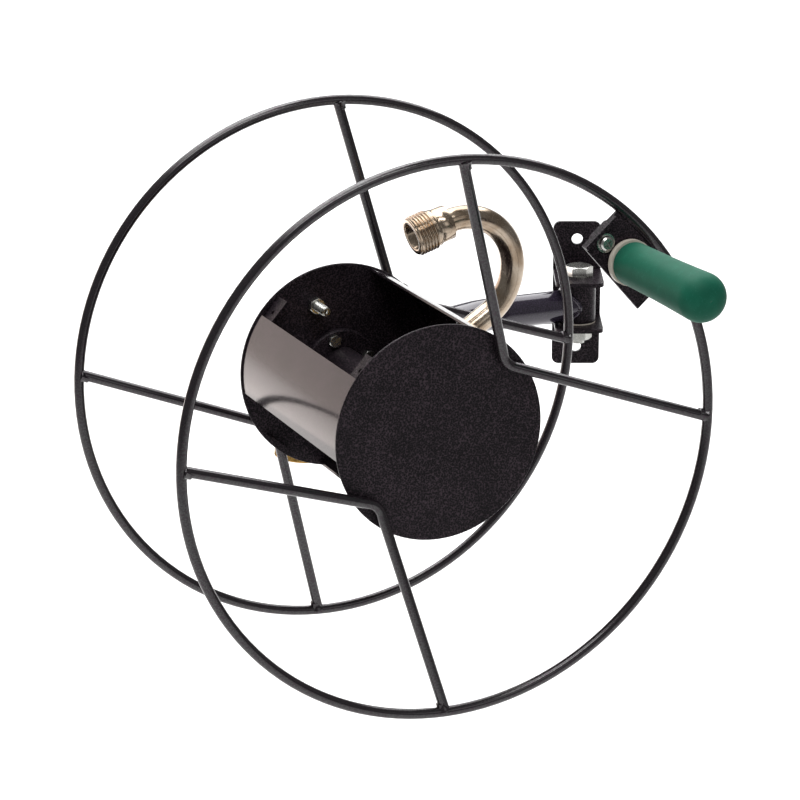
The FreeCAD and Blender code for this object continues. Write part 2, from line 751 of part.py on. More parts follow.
def inlet_elbow():
    """Brass elbow on the axle's rear end, with a leg that points down behind the drum."""
    mouth = Placement(Vector(0, size("elbow_grip + leg_radius"), 0), Rotation(X_AXIS, 90))
    barrel = cylinder("elbow_barrel", "elbow_radius", "elbow_grip + 2 * leg_radius + elbow_wall", mouth)
    leg = cylinder("elbow_leg", "leg_radius", "leg_length")
    lip = cylinder("elbow_lip", "lip_radius", "lip_sheet", along(0, 0, size("leg_length")))
    solid = joined("elbow_solid", [barrel, leg, lip])
    socket = cylinder("elbow_socket", "axle_radius", "elbow_grip", mouth)
    chamber = cylinder("elbow_chamber", "elbow_way", "elbow_grip + 2 * leg_radius", mouth)
    bore = cylinder("elbow_bore", "leg_bore", "leg_length + lip_sheet")
    item = cut("elbow_bored", solid, joined("elbow_hollows", [socket, chamber, bore]))
    keep(item, "inlet_elbow", leg_frame())


def inlet_nut():
    """Swivelling hose coupling: a short neck over the leg, then the threaded cup."""
    neck = "(leg_radius + nut_gap)"
    top = "(leg_length - nut_gap - nut_top)"
    under = "(leg_length - nut_gap)"
    thread = "(leg_length + lip_sheet + nut_gap + seal_sheet)"
    mouth = "(leg_length + lip_sheet + nut_depth)"
    relief = "(nut_bore + nut_relief)"
    body = turned_body("inlet_nut", [
        (neck, top), ("nut_radius - nut_shoulder", top), ("nut_radius", top + " + nut_shoulder"),
        ("nut_radius", mouth + " - nut_edge"), ("nut_radius - nut_edge", mouth), ("nut_bore", mouth),
        ("nut_bore", thread), (relief, thread), (relief, under), (neck, under)])
    flute = sketch_on(body, "inlet_nut_flute", "XY_Plane")
    circle(flute, "nut_radius + flute_out", "0", "flute_radius")
    notch = pocket_through(body, "inlet_nut_notch", flute)
    polar(body, "inlet_nut_flutes", notch, "nut_lobes")
    keep(body, "inlet_nut", leg_frame())


def inlet_washer():
    item = tube("inlet_washer_ring", "nut_bore + nut_relief", "leg_bore", "seal_sheet")
    place = leg_frame().multiply(along(0, 0, size("leg_length + lip_sheet + nut_gap")))
    keep(item, "inlet_washer", place)


# ---------------------------------------------------------------- wheels

def wheel_ring(name, station):
    keep(ring_torus(name + "_wire", "ring_radius", "wire_dia / 2"), name, reel_at(axial=station))


def spoke(name, clock, ring_station, disc_station):
    """V of wire: both ends on the ring, the rounded corner against a drum disc."""
    spread = math.radians(size("spoke_spread") / 2)
    reach = size("ring_radius - wire_dia / 2 + weld_reach")
    corner = Vector(0, size("spoke_corner"), disc_station - ring_station)
    ends = []
    for side in (-1, 1):
        target = Vector(side * math.sin(spread), math.cos(spread), 0) * size("ring_radius")
        run = target - corner
        ends.append(target - run * ((size("ring_radius") - reach) / run.Length))
    path = bent_path(name + "_path", ends[0], corner, ends[1], size("spoke_bend"))
    start = facing(ends[0], corner - ends[0])
    wire = swept(name + "_wire", path, "wire_dia / 2", start)
    ring = ring_torus(name + "_ring_tool", "ring_radius", "wire_dia / 2")
    keep(cut(name + "_coped", wire, ring), name, reel_at(clock=clock, axial=ring_station))


def wheels():
    front_ring = 0.0
    rear_ring = -size("ring_spacing")
    front_rest = size(FRONT_FACE + " + wire_dia / 2")
    rear_rest = size(REAR_BACK + " - wire_dia / 2")
    wheel_ring("front_ring", front_ring)
    wheel_ring("rear_ring", rear_ring)
    for side, turn in (("upper", 0), ("lower", 180)):
        clock = size("spoke_clock") + turn
        spoke("front_spoke_" + side, clock, front_ring, front_rest)
        lean = size("lower_turn") if side == "lower" else 0.0
        spoke("rear_spoke_" + side, clock + lean, rear_ring, rear_rest)


# ---------------------------------------------------------------- drum

def tab_clocks():
    """Clock angles of the tabs, and whether the wrap covers each one."""
    count = int(size("tab_count"))
    clocks = [(index * 360.0 / count - size("tab_clock")) % 360 for index in range(count)]
    return [(clock, size("window_right") < clock < 360 - size("wrap_end")) for clock in clocks]


def drum_disc(name, bore, station, flip):
    """Sheet disc with tabs folded towards the inside of the drum (local +Z)."""
    body = new_body(name)
    face = sketch_on(body, name + "_outline", "XY_Plane")
    circle(face, "0", "0", "disc_radius")
    if bore:
        circle(face, "0", "0", bore)
        for count, circle_radius, clock, hole in (("hub_bolt_count", "hub_bolt_circle", "hub_bolt_clock",
                                                   "hub_bolt_radius + hole_gap"),
                                                  ("stud_count", "stud_circle", "stud_clock",
                                                   "stud_radius + hole_gap")):
            for index in range(int(size(count))):
                angle = "(%s - tab_clock + 360 / %s * %d)" % (clock, count, index)
                circle(face, "-%s * sin(%s)" % (circle_radius, angle),
                       "%s * cos(%s)" % (circle_radius, angle), hole)
    flat = pad(body, name + "_flat", face, "disc_sheet")
    fillet(body, name + "_rim", flat, "disc_edge", lambda edge:
           edge.Curve.TypeId == "Part::GeomCircle" and abs(edge.Curve.Radius - size("disc_radius")) < 0.01)
    strip = sketch_on(body, name + "_tab_outline", "XY_Plane")
    inner = "(%s - tab_sheet)" % TAB_RADIUS
    outer = "sqrt(%s ^ 2 - (tab_width / 2) ^ 2)" % TAB_RADIUS
    outline(strip, [("-tab_width / 2", inner + " - tab_bite"), ("tab_width / 2", inner + " - tab_bite"),
                    ("tab_width / 2", outer), ("-tab_width / 2", outer)])
    tab = pad(body, name + "_tab", strip, "disc_sheet + tab_depth")
    tabs = polar(body, name + "_tabs", tab, "tab_count")
    body.Tip = tabs
    hole = sketch_on(body, name + "_tab_hole", "XZ_Plane", "-disc_radius")
    circle(hole, "0", "disc_sheet + tab_depth / 2", "rivet_radius + hole_gap")
    drilled = body.newObject("PartDesign::Pocket", name + "_tab_drill")
    drilled.Profile = hole
    drilled.Type = "Length"
    drilled.Reversed = True
    bind(drilled, Length="2 * (wrap_inset + wrap_sheet + tab_gap + tab_sheet)")
    polar(body, name + "_tab_drills", drilled, "tab_count")
    place = reel_at(clock=-size("tab_clock"), axial=station)
    if flip:
        place = place.multiply(turned(Y_AXIS, 180))
    return keep(body, name, place)


def rivet(name, clock, axial):
    """Domed rivet through wrap and tab; local Z points outwards."""
    skin = size(WRAP_RADIUS)
    depth = "(wrap_sheet + tab_gap + tab_sheet + rivet_tail)"
    shank = cylinder(name + "_shank", "rivet_radius", depth, along(0, 0, -size(depth)))
    dome = doc.addObject("Part::Ellipsoid", name + "_dome")
    bind(dome, Radius1="rivet_rise", Radius2="rivet_head", Radius3="rivet_head")
    dome.Angle1 = 0
    item = joined(name, [shank, dome])
    outward = Placement(Vector(), Rotation(X_AXIS, -90))
    item.Placement = turned(Z_AXIS, -clock).multiply(along(0, skin, axial)).multiply(outward)
    return item


def rivets(name, axial):
    covered = [clock for clock, hidden in tab_clocks() if hidden]
    items = [rivet("%s_%d" % (name, index), clock, axial) for index, clock in enumerate(covered)]
    keep(group(name + "_group", items), name, reel_at())


def wrap_arc(name, first, last):
    """Part of a solid drum between two clock angles, which are formulas."""
    item = bind(doc.addObject("Part::Cylinder", name), Radius=WRAP_RADIUS, Height="drum_inside",
                Angle="%s - %s" % (last, first))
    item.Placement = turned(Z_AXIS, 90 - size(last))
    return item


def drum_wrap():
    """Sheet riveted round the tabs, and a slat welded between the discs; open at the top and lower left."""
    wrap = wrap_arc("wrap_outer", "window_right", "(360 - wrap_end)")
    slat = wrap_arc("slat_outer", "(360 - slat_end)", "(360 - window_left)")
    tools = [cylinder("wrap_inner", WRAP_RADIUS + " - wrap_sheet", "drum_inside")]
    low = size(REAR_FACE)
    half_tab = size("tab_depth") / 2
    for clock, hidden in tab_clocks():
        for axial in (half_tab, size("drum_inside") - half_tab):
            if hidden:
                tools.append(radial_drill("wrap_hole_%d_%d" % (clock, axial), clock, axial,
                                          "rivet_radius + hole_gap"))
    tools.append(radial_drill("wrap_neck_hole", size("neck_clock"), -size("neck_inset") - low,
                              "neck_radius + neck_hole_gap"))
    item = cut("wrap_cut", joined("wrap_sheets", [wrap, slat]), joined("wrap_tools", tools))
    keep(item, "drum_wrap", reel_at(axial=low))


def radial_drill(name, clock, axial, radius):
    inward = size(WRAP_RADIUS) / 2
    place = turned(Z_AXIS, -clock).multiply(along(0, inward, axial)).multiply(turned(X_AXIS, -90))
    return cylinder(name, radius, "disc_radius", place)


def on_circle(item, clock, radius, axial=0.0):
    item.Placement = turned(Z_AXIS, -clock).multiply(along(0, radius, axial))
    return item


def drum_studs():
    """Hexagon-headed studs through the rear disc, heads behind it, nuts in front."""
    bolts = []
    nuts = []
    for index in range(int(size("stud_count"))):
        clock = index * 360.0 / size("stud_count") - size("stud_clock")
        name = "drum_stud_%d" % index
        head = hexagon(name + "_head", "stud_flats", "stud_head")
        head.Placement = turned(X_AXIS, 180)
        shank = cylinder(name + "_shank", "stud_radius", "disc_sheet + stud_reach")
        bolts.append(on_circle(joined(name, [head, shank]), clock, size("stud_circle")))
        item = nut("drum_stud_nut_%d" % index, "stud_flats", "stud_radius", "stud_nut")
        nuts.append(on_circle(item, clock, size("stud_circle"), size("disc_sheet")))
    keep(group("drum_stud_group", bolts), "drum_studs", reel_at(axial=size(REAR_BACK)))
    keep(group("drum_stud_nut_group", nuts), "drum_stud_nuts", reel_at(axial=size(REAR_BACK)))


# ---------------------------------------------------------------- hub

HUB_BORE = "(axle_radius + run_gap + bush_wall)"
HUB_TUBE = "(axle_radius + run_gap + bush_wall + hub_wall)"


def hub():
    """Flange bolted to the rear disc's front face, with a tube that turns on the axle."""
    back = "(-disc_sheet - hub_spigot)"
    body = turned_body("hub", [
        (HUB_BORE, back), (HUB_TUBE, back), (HUB_TUBE, "0"), ("hub_flange", "0"),
        ("hub_flange", "hub_plate - hub_edge"), ("hub_flange - hub_edge", "hub_plate"),
        (HUB_TUBE, "hub_plate"), (HUB_TUBE, "hub_length"), (HUB_BORE, "hub_length")])
    hole = sketch_on(body, "hub_bolt_hole", "XY_Plane")
    circle(hole, "0", "hub_bolt_circle", "hub_bolt_radius + hole_gap")
    drilled = pocket_through(body, "hub_bolt_drill", hole)
    polar(body, "hub_bolt_drills", drilled, "hub_bolt_count")
    keep(body, "hub", reel_at(clock=-size("hub_bolt_clock"), axial=size(REAR_FACE)))


def hub_bolts():
    bolts = []
    nuts = []
    for index in range(int(size("hub_bolt_count"))):
        clock = index * 360.0 / size("hub_bolt_count") - size("hub_bolt_clock")
        name = "hub_bolt_%d" % index
        length = "(hub_plate + disc_sheet + hub_nut + bolt_tail)"
        shank = cylinder(name + "_shank", "hub_bolt_radius", length, along(0, 0, -size(length)))
        head = hexagon(name + "_head", "hub_bolt_flats", "hub_bolt_head")
        bolt = joined(name, [head, shank])
        bolts.append(on_circle(bolt, clock, size("hub_bolt_circle"), size("hub_plate")))
        item = nut("hub_nut_%d" % index, "hub_bolt_flats", "hub_bolt_radius", "hub_nut")
        flipped = upside_down(item)
        nuts.append(on_circle(flipped, clock, size("hub_bolt_circle"), -size("disc_sheet")))
    keep(group("hub_bolt_group", bolts), "hub_bolts", reel_at(axial=size(REAR_FACE)))
    keep(group("hub_nut_group", nuts), "hub_nuts", reel_at(axial=size(REAR_FACE)))


def upside_down(item):
    """Wrap an item so that it points the other way and can still be placed."""
    item.Placement = turned(X_AXIS, 180)
    return group(item.Name + "_flipped", [item])


def hub_bushes():
    pieces = []
    for index, low in enumerate(("(-disc_sheet - hub_spigot)", "(hub_length - bush_length)")):
        piece = tube("hub_bush_%d" % index, HUB_BORE, "axle_radius + run_gap", "bush_length")
        piece.Placement = along(0, 0, size(low))
        pieces.append(piece)
    keep(group("hub_bush_pair", pieces), "hub_bushes", reel_at(axial=size(REAR_FACE)))


# ---------------------------------------------------------------- outlet

def swivel_body():
    """Brass block that turns on the axle's cross holes and carries the outlet tube."""
    half = "(swivel_length / 2)"
    bore = "(axle_radius + run_gap)"
    body = turned_body("swivel_body", [
        (bore, "-%s" % half), ("swivel_radius - swivel_edge", "-%s" % half),
        ("swivel_radius", "-%s + swivel_edge" % half), ("swivel_radius", half + " - swivel_edge"),
        ("swivel_radius - swivel_edge", half), (bore, half),
        (bore, "chamber_length / 2"), ("chamber_radius", "chamber_length / 2"),
        ("chamber_radius", "-chamber_length / 2"), (bore, "-chamber_length / 2")])
    boss = sketch_on(body, "swivel_boss_section", "XZ_Plane", "-swivel_reach")
    circle(boss, "0", "0", "neck_radius + swivel_boss_wall")
    pad(body, "swivel_boss_pad", boss, "swivel_reach - chamber_radius - swivel_root")
    drill = sketch_on(body, "swivel_socket_section", "XZ_Plane", "-swivel_reach")
    circle(drill, "0", "0", "neck_radius")
    socket = body.newObject("PartDesign::Pocket", "swivel_socket")
    socket.Profile = drill
    socket.Type = "Length"
    socket.Reversed = True
    bind(socket, Length="neck_socket")
    way = sketch_on(body, "swivel_way_section", "XZ_Plane", "-swivel_reach")
    circle(way, "0", "0", "neck_radius - neck_wall")
    passage = body.newObject("PartDesign::Pocket", "swivel_way")
    passage.Profile = way
    passage.Type = "Length"
    passage.Reversed = True
    bind(passage, Length="swivel_reach - axle_radius - swivel_root")
    keep(body, "swivel_body", reel_at(clock=size("neck_clock"), axial=-size("neck_inset")))


def neck_frame():
    """Local X runs out along the tube's straight run; the bend turns towards local Y."""
    out = reel_at(clock=size("neck_clock"), axial=-size("neck_inset")).multiply(turned(Z_AXIS, 90))
    return out.multiply(turned(X_AXIS, size("neck_twist")))


def neck_end():
    """Where the bend ends and the direction it then points, in the neck frame."""
    turn = math.radians(size("neck_turn"))
    bend = size("neck_bend")
    point = Vector(size("neck_straight") + bend * math.sin(turn), bend * (1 - math.cos(turn)), 0)
    return point, Vector(math.cos(turn), math.sin(turn), 0)


def outlet_tube():
    begin = Vector(size("swivel_reach - neck_socket"), 0, 0)
    bend_start = Vector(size("neck_straight"), 0, 0)
    bend = size("neck_bend")
    half = math.radians(size("neck_turn")) / 2
    bend_middle = bend_start + Vector(bend * math.sin(half), bend * (1 - math.cos(half)), 0)
    bend_end, direction = neck_end()
    finish = bend_end + direction * size("fitting_socket")
    path = path_object("outlet_path", Part.Wire([
        Part.LineSegment(begin, bend_start).toShape(),
        Part.Arc(bend_start, bend_middle, bend_end).toShape(),
        Part.LineSegment(bend_end, finish).toShape(),
    ]))
    start = facing(begin, X_AXIS)
    item = cut("outlet_tube_hollow", swept("outlet_outer", path, "neck_radius", start),
               swept("outlet_inner", path, "neck_radius - neck_wall", start))
    keep(item, "outlet_tube", neck_frame())


def outlet_fitting():
    """Male hose thread: plain collar, then rounded-off rings of thread up to the mouth."""
    crest = ("thread_pitch * 0.25", "thread_pitch * 0.6", "thread_pitch * 0.85")
    thread_start = "(fitting_length - thread_turns * thread_pitch - thread_lead)"
    root = "(hose_thread - thread_depth)"
    collar = "(neck_radius + fitting_wall)"
    shoulder = thread_start + " - thread_relief"
    bore = "(neck_radius + fitting_step)"
    points = [("neck_radius", "0"), (collar, "0"), (collar, shoulder), (root, shoulder)]
    for turn in range(int(size("thread_turns"))):
        low = "(%s + thread_pitch * %d)" % (thread_start, turn)
        flank_up, flank_down, foot = ["%s + %s" % (low, station) for station in crest]
        points += [(root, low), ("hose_thread", flank_up), ("hose_thread", flank_down), (root, foot)]
    points += [(root, "fitting_length - fitting_edge"), (root + " - fitting_edge", "fitting_length"),
               (bore, "fitting_length"), (bore, "fitting_socket"),
               ("neck_radius", "fitting_socket")]
    body = turned_body("outlet_fitting", points)
    point, direction = neck_end()
    keep(body, "outlet_fitting", neck_frame().multiply(facing(point, direction)))


# ---------------------------------------------------------------- handle

def handle_bracket():
    """Flat plate against the ring's inner side, its left edge folded forward."""
    body = new_body("handle_bracket")
    sketch = sketch_on(body, "handle_bracket_outline", "XY_Plane")
    half = "(bracket_width / 2)"
    fit = "(ring_radius - wire_dia / 2)"
    low = "(%s - bracket_radial)" % fit
    shoulder = "sqrt(%s ^ 2 - %s ^ 2)" % (fit, half)
    corners = [("-%s" % half, shoulder), ("-%s" % half, low), (half, low), (half, shoulder)]
    spots = [Vector(size(across), size(up), 0) for across, up in corners]
    for index in range(3):
        sketch.addGeometry(Part.LineSegment(spots[index], spots[index + 1]), False)
        if index:
            sketch.addConstraint(Sketcher.Constraint("Coincident", index - 1, 2, index, 1))
    arc = Part.Arc(spots[3], Vector(0, size(fit), 0), spots[0])
    sketch.addGeometry(arc, False)
    sketch.addConstraint(Sketcher.Constraint("Coincident", 3, 3, -1, 1))
    sketch.addConstraint(Sketcher.Constraint("Coincident", 2, 2, 3, 1))
    sketch.addConstraint(Sketcher.Constraint("Coincident", 3, 2, 0, 1))
    for index, (across, up) in enumerate(corners[1:3]):
        pin_point(sketch, index + 1, 1, across, up)
    for index, text in ((0, "-%s" % half), (2, half)):
        end = 1 if index == 0 else 2
        held = sketch.addConstraint(Sketcher.Constraint("DistanceX", -1, 1, index, end, size(text)))
        sketch.setExpression("Constraints[%d]" % held, bound(text))
    held = sketch.addConstraint(Sketcher.Constraint("Radius", 3, size(fit)))
    sketch.setExpression("Constraints[%d]" % held, bound(fit))
    circle(sketch, "0", "grip_circle", "rod_radius + hole_gap")
    circle(sketch, "-screw_offset", "grip_circle - screw_drop", "screw_radius + hole_gap")
    pad(body, "handle_bracket_flat", sketch, "bracket_sheet", reverse=True)
    fold = sketch_on(body, "handle_bracket_fold", "XY_Plane")
    outline(fold, [("-%s" % half, low), ("-%s + bracket_sheet" % half, low),
                   ("-%s + bracket_sheet" % half, shoulder + " - bracket_stop"),
                   ("-%s" % half, shoulder + " - bracket_stop")])
    pad(body, "handle_bracket_flange", fold, "bracket_flange - bracket_sheet")
    keep(body, "handle_bracket", reel_at(clock=size("bracket_clock"), axial=size("bracket_front")))


def handle_foot():
    """Plate behind the bracket that the grip's rod is welded to."""
    body = new_body("handle_foot")
    sketch = sketch_on(body, "handle_foot_outline", "XY_Plane")
    outline(sketch, [("-screw_offset - foot_width / 2", "grip_circle - foot_width / 2"),
                     ("foot_width / 2 + foot_margin", "grip_circle - foot_width / 2"),
                     ("foot_width / 2 + foot_margin", "grip_circle + foot_width / 2"),
                     ("-screw_offset - foot_width / 2", "grip_circle + foot_width / 2")])
    circle(sketch, "0", "grip_circle", "rod_radius")
    circle(sketch, "-screw_offset", "grip_circle - screw_drop", "screw_radius + hole_gap")
    flat = pad(body, "handle_foot_flat", sketch, "foot_sheet", reverse=True)
    fillet(body, "handle_foot_corners", flat, "foot_corner", is_line_along_z)
    back = size("bracket_front - bracket_sheet")
    keep(body, "handle_foot", reel_at(clock=size("bracket_clock"), axial=back))


def screw_frame(axial):
    place = reel_at(clock=size("bracket_clock"), radius=size("grip_circle - screw_drop"), axial=axial)
    return place.multiply(along(-size("screw_offset"), 0, 0))


def bracket_screw():
    """Pan head screw with washer in front and nut behind the foot plate."""
    front = size("bracket_front")
    washer = tube("screw_washer_ring", "screw_washer", "screw_radius + hole_gap", "screw_washer_sheet")
    keep(washer, "screw_washer", screw_frame(front))
    length = "(screw_washer_sheet + bracket_sheet + foot_sheet + screw_nut + screw_tail)"
    body = turned_body("bracket_screw", [
        ("0", "-" + length), ("screw_radius", "-" + length), ("screw_radius", "0"), ("screw_head", "0"),
        ("screw_head", "screw_rise * 0.35"), ("screw_head * 0.9", "screw_rise * 0.7"),
        ("screw_head * 0.68", "screw_rise"), ("0", "screw_rise")])
    recess = sketch_on(body, "bracket_screw_recess", "XY_Plane", "screw_rise")
    arm = "(screw_head * 0.5)"
    web = "(screw_head * 0.12)"
    outline(recess, [
        (arm, "-" + web), (arm, web), (web, web), (web, arm), ("-" + web, arm), ("-" + web, web),
        ("-" + arm, web), ("-" + arm, "-" + web), ("-" + web, "-" + web), ("-" + web, "-" + arm),
        (web, "-" + arm), (web, "-" + web)])
    slot = body.newObject("PartDesign::Pocket", "bracket_screw_slot")
    slot.Profile = recess
    slot.Type = "Length"
    bind(slot, Length="screw_rise * 0.6")
    keep(body, "bracket_screw", screw_frame(front + size("screw_washer_sheet")))
    back = front - size("bracket_sheet + foot_sheet")
    item = nut("screw_nut_solid", "screw_flats", "screw_radius", "screw_nut")
    keep(item, "screw_nut", screw_frame(back).multiply(turned(X_AXIS, 180)))


def grip_frame(axial=0.0):
    return reel_at(clock=size("bracket_clock"), radius=size("grip_circle"), axial=axial)


def handle_rod():
    back = "(bracket_front - bracket_sheet - foot_sheet)"
    seat = "(rod_reach - rod_head_sheet)"
    body = turned_body("handle_rod", [("0", back), ("rod_radius", back), ("rod_radius", seat),
                                      ("rod_head", seat), ("rod_head", "rod_reach - rod_edge"),
                                      ("rod_head - rod_edge", "rod_reach"), ("0", "rod_reach")])
    keep(body, "handle_rod", grip_frame())


def grip_collar():
    """Pale collar between bracket and grip."""
    front = "bracket_front"
    bore = "(rod_radius + hole_gap)"
    body = turned_body("grip_collar", [(bore, front), ("collar_radius - collar_slope", front),
                                       ("collar_radius", front + " + collar_foot"),
                                       ("collar_radius", front + " + collar_rise"),
                                       (bore, front + " + collar_rise")])
    keep(body, "grip_collar", grip_frame())


def grip():
    """Rigid core that turns on the rod, inside a closed soft cover."""
    heel = "(bracket_front + collar_rise + end_gap)"
    seat = "(rod_reach - rod_head_sheet - end_gap)"
    cave = "(rod_reach + grip_slack)"
    hollow = "(rod_head + head_gap)"
    core = turned_body("grip_core", [("rod_radius + run_gap", heel), ("core_radius", heel),
                                     ("core_radius", cave), (hollow, cave), (hollow, seat),
                                     ("rod_radius + run_gap", seat)])
    keep(core, "grip_core", grip_frame())
    cover = new_body("grip_cover")
    sketch = sketch_on(cover, "grip_cover_profile", "XZ_Plane")
    outline(sketch, [("core_radius", heel), ("grip_radius - grip_taper", heel), ("grip_radius", "grip_tip"),
                     ("0", "grip_tip"), ("0", cave), ("core_radius", cave)])
    item = cover.newObject("PartDesign::Revolution", "grip_cover_turned")
    item.Profile = sketch
    item.ReferenceAxis = (sketch, ["V_Axis"])
    item.Angle = 360
    tip = size("grip_tip")
    domed = fillet(cover, "grip_cover_dome", item, "grip_round", lambda edge:
                   edge.Curve.TypeId == "Part::GeomCircle" and abs(edge.CenterOfMass.z - tip) < 0.01)
    foot = size(heel)
    wide = size("grip_radius - grip_taper") - 0.01
    fillet(cover, "grip_cover_heel", domed, "grip_heel", lambda edge:
           edge.Curve.TypeId == "Part::GeomCircle" and abs(edge.CenterOfMass.z - foot) < 0.01
           and edge.Curve.Radius > wide)
    keep(cover, "grip_cover", grip_frame())


# ---------------------------------------------------------------- build and write

def build():
    wall_plate()
    clevis()
    pivot_bolt()
    pivot_hardware()
    pivot_sleeve()
    pivot_bush("pivot_bush_upper", 0)
    pivot_bush("pivot_bush_lower", 180)
    arm_tube()
    axle_boss()
    axle_tube()
    axle_seals()
    retaining_ring()
    thrust_washer()
    inlet_elbow()
    inlet_nut()
    inlet_washer()
    wheels()
    half_tab = size("tab_depth") / 2
    drum_disc("front_disc", None, size(FRONT_FACE), True)
    drum_disc("rear_disc", HUB_TUBE + " + hole_gap", size(REAR_BACK), False)
    drum_wrap()
    rivets("front_rivets", size(FRONT_BACK) - half_tab)
    rivets("rear_rivets", size(REAR_FACE) + half_tab)
    drum_studs()
    hub()
    hub_bolts()
    hub_bushes()
    swivel_body()
    outlet_tube()
    outlet_fitting()
    handle_bracket()
    handle_foot()
    bracket_screw()
    handle_rod()
    grip_collar()
    grip()


def check_and_write():
    doc.recompute()
    for item in doc.Objects:
        if "Invalid" in item.State or "Error" in item.State:
            raise RuntimeError("%s failed: %s" % (item.Name, item.State))
    os.makedirs("parts", exist_ok=True)
    for item in parts:
        shape = item.Shape
        if shape.isNull() or not shape.isValid() or not shape.Solids:
            raise RuntimeError("%s has no sound solid" % item.Label)
        print("%-20s %2d solid(s) %10.1f mm3" % (item.Label, len(shape.Solids), shape.Volume))
    for item in parts:
        item.Shape.exportStep("parts/%s.step" % item.Label)


build()
check_and_write()
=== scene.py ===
"""Wall-mounted garden hose reel: the finishes, soft grip, threads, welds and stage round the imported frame."""
import json
import math

import bmesh
import bpy
import numpy as np
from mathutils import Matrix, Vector


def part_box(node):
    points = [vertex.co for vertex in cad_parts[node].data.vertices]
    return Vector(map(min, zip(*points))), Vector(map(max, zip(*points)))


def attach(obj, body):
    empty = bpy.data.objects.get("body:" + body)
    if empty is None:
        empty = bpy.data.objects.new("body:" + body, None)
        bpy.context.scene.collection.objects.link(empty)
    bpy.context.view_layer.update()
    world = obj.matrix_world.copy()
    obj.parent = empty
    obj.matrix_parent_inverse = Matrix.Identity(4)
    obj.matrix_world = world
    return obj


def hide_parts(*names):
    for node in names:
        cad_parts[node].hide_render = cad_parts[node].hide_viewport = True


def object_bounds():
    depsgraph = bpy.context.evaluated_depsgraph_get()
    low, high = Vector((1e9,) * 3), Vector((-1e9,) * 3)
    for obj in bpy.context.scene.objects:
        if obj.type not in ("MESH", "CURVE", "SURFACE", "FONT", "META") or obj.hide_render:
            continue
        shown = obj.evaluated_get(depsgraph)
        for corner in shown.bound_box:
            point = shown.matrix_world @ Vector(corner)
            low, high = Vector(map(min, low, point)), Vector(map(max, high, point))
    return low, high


bl_info = {
    "name": "Garden hose reel",
    "version": (1, 0, 0),
    "blender": (4, 5, 0),
    "location": "View3D > Sidebar > Hose Reel",
    "description": "Finishes and detail pieces for a wall-mounted swivelling hose reel",
    "category": "Object",
}

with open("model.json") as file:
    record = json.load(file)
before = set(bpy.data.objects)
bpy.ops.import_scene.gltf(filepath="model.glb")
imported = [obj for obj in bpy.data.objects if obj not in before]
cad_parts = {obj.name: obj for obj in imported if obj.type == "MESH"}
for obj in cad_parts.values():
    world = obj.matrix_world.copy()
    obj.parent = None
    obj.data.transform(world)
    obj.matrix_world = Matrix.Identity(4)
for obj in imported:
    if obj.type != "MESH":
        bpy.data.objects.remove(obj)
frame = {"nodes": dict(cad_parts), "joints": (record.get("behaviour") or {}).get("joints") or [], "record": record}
CAD_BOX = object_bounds()
JOINTS = {joint["name"]: joint for joint in frame["joints"]}
MOUNTS = {mount["name"]: mount for mount in frame["record"]["mounts"]}
MM = 0.001


def linear(code):
    """An sRGB hex colour as the linear RGBA that shaders and lights take."""
    channels = [int(code[start:start + 2], 16) / 255 for start in (1, 3, 5)]
    return [c / 12.92 if c <= 0.04045 else ((c + 0.055) / 1.055) ** 2.4 for c in channels] + [1.0]


# ------------------------------------------------------------------ settings

def colour(label, code, description):
    """A colour property whose default is an sRGB hex colour."""
    return bpy.props.FloatVectorProperty(name=label, description=description, subtype="COLOR", size=4,
                                         min=0.0, max=1.0, default=linear(code))


def length(label, metres, description):
    """A length property, in metres."""
    return bpy.props.FloatProperty(name=label, description=description, unit="LENGTH", default=metres)


class HoseReelFinishes(bpy.types.PropertyGroup):
    """Colours of the reel's finishes."""
    powder: colour("Powder coat", "#0d0b0e", "Ground colour of the black powder coat")
    vein: colour("Silver vein", "#40373d", "Flecks in the powder coat")
    enamel: colour("Enamel", "#241f2a", "Gloss enamel on the arm")
    nickel: colour("Nickel", "#bfb2a2", "Satin nickel plate on the outlet tube")
    zinc: colour("Zinc", "#c8c9c6", "Bright zinc plate on the fasteners")
    brass: colour("Brass", "#bd9c62", "Machined brass of the water parts")
    vinyl: colour("Grip vinyl", "#0d4f3d", "Dipped vinyl of the grip")
    nylon: colour("Nylon", "#cfc8bb", "Natural nylon of collars and bushes")


class HoseReelSizes(bpy.types.PropertyGroup):
    """Sizes of the detail pieces that are added to the frame."""
    weld_leg: length("Weld leg", 2.2 * MM, "How far a fillet weld stands out from its corner")
    weld_ripple: length("Weld ripple", 0.22 * MM, "Height of the ripples along a weld")
    thread_pitch: length("Hose thread pitch", 2.209 * MM, "11.5 threads to the inch")
    thread_depth: length("Hose thread depth", 1.05 * MM, "Crest to root of the hose thread")
    stud_pitch: length("Stud thread pitch", 1.0 * MM, "Thread pitch of the drum studs")
    grip_swell: length("Grip swell", 0.35 * MM, "How much the grip waists in along its length")


class HoseReelStage(bpy.types.PropertyGroup):
    """Camera and lights."""
    lens: bpy.props.FloatProperty(name="Focal length", description="Camera focal length in millimetres",
                                  default=137.0)
    camera_from_reel: bpy.props.FloatVectorProperty(
        name="Camera from reel", description="Camera place measured from the front wheel's centre",
        subtype="TRANSLATION", size=3, default=(-0.0338, -1.8177, 0.5803))
    elevation: bpy.props.FloatProperty(name="Camera elevation", description="How far the camera looks down",
                                       subtype="ANGLE", default=math.radians(16.9))
    floor_drop: length("Floor drop", 0.30, "Floor below the lowest point of the reel")
    room_light: bpy.props.FloatProperty(name="Room light", default=0.2,
                                        description="Strength of the even surrounding light")


# ------------------------------------------------------------------ frames and arrays

def unit(vector):
    """A vector divided by its length."""
    vector = np.asarray(vector, float)
    return vector / np.linalg.norm(vector)


